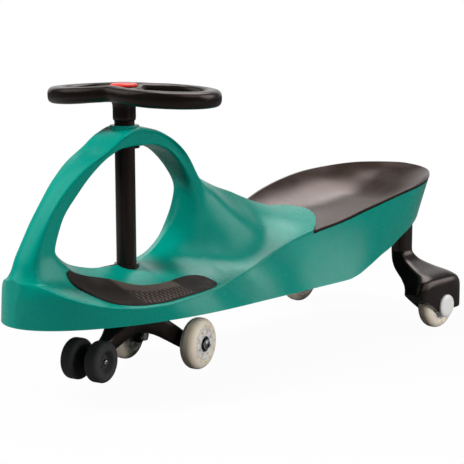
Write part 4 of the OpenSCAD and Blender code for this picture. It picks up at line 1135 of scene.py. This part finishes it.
class WIGGLE_OT_stabilisers(bpy.types.Operator):
    """Makes the two stabiliser wheels with their dished faces, and their axle"""

    bl_idname = "wiggle.stabilisers"
    bl_label = "Stabiliser wheels"

    def execute(self, context):
        sizes = context.scene.wiggle_wheels
        r, half, axle = sizes.roller / 2, sizes.roller_width / 2, sizes.axle / 2
        hole, floor, hub = axle + AXLE_SLIP, half - DISH_FLOOR, half - ROLLER_HUB
        inside = rounded([(r - ROLLER_CORNER, half, 0), (ROLLER_DISH, half, 0.0018),
                          (ROLLER_DISH - 0.004, floor, 0.002), (0.0075, floor, 0.0006), (0.0072, hub, 0.0008),
                          (hole, hub, 0)], 0.0004, ARC_STEPS)
        roller = np.concatenate([bulged(hole, r, half, ROLLER_CORNER, 0.0)[:-1], inside[ARC_STEPS:1 - ARC_STEPS]])
        spots = [np.array(joint(f"stabiliser_{side}_spin")["pos_m"]) for side, _ in SIDES]
        for (side, sign), place in zip(SIDES, spots):
            piece = surface(f"roller_{side}", set_in_place(turned(roller, count=144), place, STEER, sign), along=True)
            dressed(smoothed(piece), "roller_black", "roller_black", f"stabiliser_{side}", f"stabiliser_wheel_{side}")
        end = reach_across("stabiliser_axle")
        pin = rounded([(0, -end), (PIN_NECK, -end, 0.001), (axle, PIN_BEVEL - end, 0.001),
                       (axle, end - PIN_BEVEL, 0.001), (PIN_NECK, end, 0.001), (0, end)], 0.0003)
        piece = surface("stabiliser_pin", set_in_place(turned(pin, count=64), (spots[0] + spots[1]) / 2, STEER))
        dressed(smoothed(piece), "plated_steel", "steel", "steering", "stabiliser_axle")
        return {"FINISHED"}


# A leg from its wheel's axle: front, rear, inner and outer face of its column and of its housing.
LEG_INNER, LEG_WIDTH, LEG_FRONT, LEG_REAR = 0.064, 0.024, 0.023, -0.007
LEG_HOUSING = (0.065, -0.047, -0.0185, 0.0185)
LEG_POWER = 0.42
LEG_HEIGHTS = np.concatenate([np.linspace(0.15, 0.36, 14), np.linspace(0.37, 0.66, 70), np.linspace(0.67, 1, 10)])
WHEEL_WELL = rounded(drum(0.037, -0.0145, 0.0145), 0.001)
LEG_TRIM = np.array([(0.09, -0.02), (0.09, 0.0785), (0.065, 0.060), (0.018, 0.028), (-0.08, 0.028), (-0.08, -0.02)])
TRIM_SIDES = np.array([-0.06, 0.06])[:, None]
LID_FOOT = LEG_HOUSING[3]
AXLE_LID = rounded([(0, LID_FOOT + 0.0001), (0.017, LID_FOOT + 0.0001), (0.017, LID_FOOT + 0.003, 0.0022),
                    (0.0138, LID_FOOT + 0.0052, 0.002), (0, LID_FOOT + 0.0055)], 0.0003, 8)


def leg_grid(inner, top):
    """A leg's squared-off ellipse at each height, from the slim column at the top to the wheel's housing."""
    column = (LEG_FRONT, LEG_REAR, inner, inner + LEG_WIDTH)
    rows = sorted(LEG_ROWS)
    front, rear, inside, outside = [mix(column[c], LEG_HOUSING[c], np.clip(curve(
        [(row[0], row[c + 1]) for row in rows], LEG_HEIGHTS), 0, 1))[:, None] for c in range(4)]
    a = circle(120)
    x = (front + rear) / 2 + (front - rear) / 2 * soft(np.cos(a), LEG_POWER)
    y = (inside + outside) / 2 + (outside - inside) / 2 * soft(np.sin(a), LEG_POWER)
    return np.stack([x, y, top * LEG_HEIGHTS[:, None] + 0 * a], -1)


class WIGGLE_OT_rear_legs(bpy.types.Operator):
    """Forms the two rear legs with their wheel wells, and their axle caps"""

    bl_idname = "wiggle.rear_legs"
    bl_label = "Rear legs"

    def execute(self, context):
        foot = np.array(joint("rear_wheel_left_spin")["pos_m"]) * np.array([1.0, 1.0, 0.0])
        leg = leg_grid(LEG_INNER - foot[1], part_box("rear_leg_left")[1].z)
        well = turned(WHEEL_WELL, count=128) + np.array([0.0, 0.0, WHEEL_HEIGHT])
        trim = np.stack(np.broadcast_arrays(LEG_TRIM[:, 0], TRIM_SIDES, LEG_TRIM[:, 1]), -1)
        for _, side, axle, turn, sign in wheel_places("rear"):
            piece = surface(f"leg_moulding_{side}", sided(leg + foot, sign))
            remeshed(piece, size=0.0016, rounds=10)
            combined(piece, surface("well", sided(well + foot, sign)))
            combined(piece, surface("trim", sided(trim + foot, sign)))
            dressed(smoothed(piece, angle=38), "black_moulding", "frame_black", "body", f"rear_leg_{side}")
            lid = surface(f"axle_lid_{side}", set_in_place(turned(AXLE_LID, count=128), axle, turn, sign))
            dressed(smoothed(lid), "white_cap", "core_white", "body", f"rear_axle_cap_{side}")
        return {"FINISHED"}


# A front bolt, out along its axle from the wheel's middle.
BOLT_END, BOLT_SHANK, HEAD_FOOT, HEAD_TOP, SOCKET_FLOOR, HEX_HALF = -0.0328, 0.0040, 0.0123, 0.0163, 0.0135, 0.0030
BOLT_SIDE = rounded([(BOLT_SHANK, BOLT_END), (BOLT_SHANK, HEAD_FOOT), (0.0070, HEAD_FOOT, 0.0003),
                     (0.0070, HEAD_FOOT + 0.0022, 0.0016), (0.0048, HEAD_TOP, 0.0012)], 0.0003)[4:-2]


class WIGGLE_OT_fixings(bpy.types.Operator):
    """Makes the wheel bolts and finishes the hidden steel solids"""

    bl_idname = "wiggle.fixings"
    bl_label = "Bolts and pins"

    def execute(self, context):
        for node in ("column_bolt", "column_washer", "column_pin", "front_nuts", "rear_axle_left", "rear_axle_right",
                     "leg_screws"):
            coated(frame["nodes"][node], "plated_steel")
        a = circle(96)
        hexagon = HEX_HALF / np.cos((a + np.pi / 6) % (np.pi / 3) - np.pi / 6)
        socket = [np.stack([size * np.cos(a), y + 0 * a, size * np.sin(a)], -1)
                  for size, y in ((hexagon, HEAD_TOP), (hexagon, SOCKET_FLOOR), (0 * a, SOCKET_FLOOR))]
        bolt = np.concatenate([turned(np.concatenate([[(0.0, BOLT_END)], BOLT_SIDE]), count=96), *socket], axis=0)
        for _, side, place, turn, sign in wheel_places("front"):
            piece = surface(f"wheel_bolt_{side}", set_in_place(bolt, place, turn, sign), ends=False)
            dressed(smoothed(piece), "plated_steel", "steel", "steering", f"front_bolt_{side}")
        return {"FINISHED"}


# Name, place, size and power of each lamp.
LAMPS = (("key", (1.6, -1.05, 1.95), 0.7, 86.0), ("overhead", (-1.0, -0.1, 2.0), 1.2, 14.0),
         ("side", (-0.2, 2.55, 0.75), 0.8, 42.0))
LAMP_TARGET = Vector((0.0, 0.0, 0.18))
# Direction, cosine where it starts, cosine where it is full, and strength of each glow that mirrors see.
GLOWS = (((-0.69, -0.68, 0.25), 0.75, 0.95, 0.8), ((-0.87, 0.45, 0.12), 0.35, 0.9, 0.2),
         ((0.45, -0.55, 0.7), 0.82, 0.97, 1.2), ((-0.18, 0.68, 0.71), 0.9, 0.98, 1.4),
         ((-0.45, -0.15, 0.88), 0.9, 0.98, 5.0), ((-0.69, 0.62, 0.375), 0.92, 0.98, 3.2))
# The room's level and the floor: its grey, and the distances between which it turns white.
ROOM_LEVEL, FLOOR_GREY, FLOOR_NEAR, FLOOR_FAR = 0.04, 0.22, 0.35, 1.1
# The camera: place, tilt down and turn in degrees, lens in millimetres, and shift.
EYE_PLACE, EYE_DROP, EYE_TURN, EYE_LENS, EYE_SHIFT = (1.4379, 1.3332, 0.5141), 10.32, 222.36, 110.2, (-0.0297, 0.0170)


class WIGGLE_OT_stage(bpy.types.Operator):
    """Sets the floor, the lights and the camera"""

    bl_idname = "wiggle.stage"
    bl_label = "Stage"

    def execute(self, context):
        scene = context.scene
        scene.view_settings.view_transform = "Standard"
        t = np.linspace(-40, 40, 9)
        grid = np.stack(np.broadcast_arrays(t[:, None], t[None, :], 0.0), -1)
        floor = surface("floor", grid, around=False, ends=False)
        if floor.data.polygons[0].normal.z < 0:
            floor.data.flip_normals()
        floor.data.materials.append(self.floor_paint())
        self.white_room(scene)
        for lamp in LAMPS:
            self.lamp(scene, *lamp)
        eye = bpy.data.objects.new("camera", bpy.data.cameras.new("camera"))
        scene.collection.objects.link(eye)
        eye.location = EYE_PLACE
        eye.rotation_euler = (math.radians(90 - EYE_DROP), 0.0, math.radians(EYE_TURN - 90))
        eye.data.sensor_width, eye.data.lens = 36.0, EYE_LENS
        eye.data.shift_x, eye.data.shift_y = EYE_SHIFT
        eye.data.clip_end = 50.0
        scene.camera = eye
        return {"FINISHED"}

    @staticmethod
    def lamp(scene, name, place, size, power):
        """A square soft light that faces the car and that mirrors don't see."""
        data = bpy.data.lights.new(name, "AREA")
        data.size, data.energy = size, power
        lamp = bpy.data.objects.new(name, data)
        scene.collection.objects.link(lamp)
        lamp.location = place
        lamp.visible_glossy = False
        lamp.rotation_euler = (LAMP_TARGET - Vector(place)).to_track_quat("-Z", "Y").to_euler()

    @staticmethod
    def floor_paint():
        """Pale floor that shows the shadow and is otherwise white to the camera."""
        material = bpy.data.materials.new("pale_floor")
        material.use_nodes = True
        tree = Tree(material.node_tree)
        shader = tree.fed(tree.nodes["Principled BSDF"], Base_Color=(FLOOR_GREY, FLOOR_GREY, FLOOR_GREY, 1.0),
                          Roughness=0.9)
        far = tree.add("VectorMath", operation="LENGTH")
        tree.put(far.inputs[0], tree.add("TexCoord").outputs["Object"])
        glow = tree.fed(tree.add("Emission"), Strength=tree.ranged(
            far.outputs["Value"], FLOOR_NEAR, FLOOR_FAR, 1.07, 1.0))
        share = tree.times(tree.add("LightPath").outputs["Is Camera Ray"],
                           tree.ranged(far.outputs["Value"], FLOOR_NEAR, FLOOR_FAR, 0.9, 1.0))
        both = tree.add("MixShader")
        for socket, value in zip(both.inputs, (share, shader.outputs[0], glow.outputs[0])):
            tree.put(socket, value)
        tree.fed(tree.nodes["Material Output"], Surface=both.outputs[0])
        return material

    @staticmethod
    def white_room(scene):
        """A world that is white to the eye and a plain soft light otherwise; mirrors and clear parts see a dim room
        with soft glows."""
        scene.world = bpy.data.worlds.new("white_room")
        scene.world.use_nodes = True
        tree = Tree(scene.world.node_tree)
        path = tree.add("LightPath").outputs
        seen = tree.add("NewGeometry").outputs["Incoming"]
        level = ROOM_LEVEL
        for towards, low, high, strength in GLOWS:
            facing = tree.add("VectorMath", operation="DOT_PRODUCT")
            tree.put(facing.inputs[0], seen)
            tree.put(facing.inputs[1], tuple(-c for c in towards))
            level = tree.reckon("ADD", tree.ranged(facing.outputs["Value"], low, high, 0.0, strength), level)
        mirror = tree.reckon("MAXIMUM", path["Is Glossy Ray"], path["Is Transmission Ray"])
        level = tree.reckon("MAXIMUM", tree.times(mirror, level), path["Is Camera Ray"])
        ambient = tree.times(tree.reckon("SUBTRACT", 1.0, mirror), ROOM_LEVEL)
        tree.fed(tree.nodes["Background"], Color=(1.0, 1.0, 1.0, 1.0),
                 Strength=tree.reckon("MAXIMUM", level, ambient))


class WIGGLE_PT_panel(bpy.types.Panel):
    """Lists the car's sizes, colours and pieces"""

    bl_idname = "WIGGLE_PT_panel"
    bl_label = "Wiggle car"
    bl_space_type = "VIEW_3D"
    bl_region_type = "UI"
    bl_category = "Wiggle car"

    def draw(self, context):
        for holder in SETTINGS:
            box = self.layout.box()
            group = getattr(context.scene, holder)
            for name in group.__annotations__:
                box.prop(group, name)
        for operator in OPERATORS:
            self.layout.operator(operator.bl_idname)


SETTINGS = {"wiggle_body": BodySizes, "wiggle_steering": SteeringSizes, "wiggle_wheels": WheelSizes,
            "wiggle_colours": FinishColours}
OPERATORS = (WIGGLE_OT_stage, WIGGLE_OT_body, WIGGLE_OT_seat, WIGGLE_OT_pads, WIGGLE_OT_steering_wheel,
             WIGGLE_OT_column, WIGGLE_OT_truck, WIGGLE_OT_running_wheels, WIGGLE_OT_stabilisers,
             WIGGLE_OT_rear_legs, WIGGLE_OT_fixings)
CLASSES = (*SETTINGS.values(), *OPERATORS, WIGGLE_PT_panel)


def register():
    """Registers the classes and hangs the settings on the scene."""
    for one in CLASSES:
        bpy.utils.register_class(one)
    for holder, group in SETTINGS.items():
        setattr(bpy.types.Scene, holder, PointerProperty(type=group))


def unregister():
    """Undoes register."""
    for holder in SETTINGS:
        delattr(bpy.types.Scene, holder)
    for one in reversed(CLASSES):
        bpy.utils.unregister_class(one)


def main():
    """Registers the classes and builds every piece in order."""
    register()
    for operator in OPERATORS:
        group, name = operator.bl_idname.split(".")
        getattr(getattr(bpy.ops, group), name)()


if __name__ == "__main__":
    main()
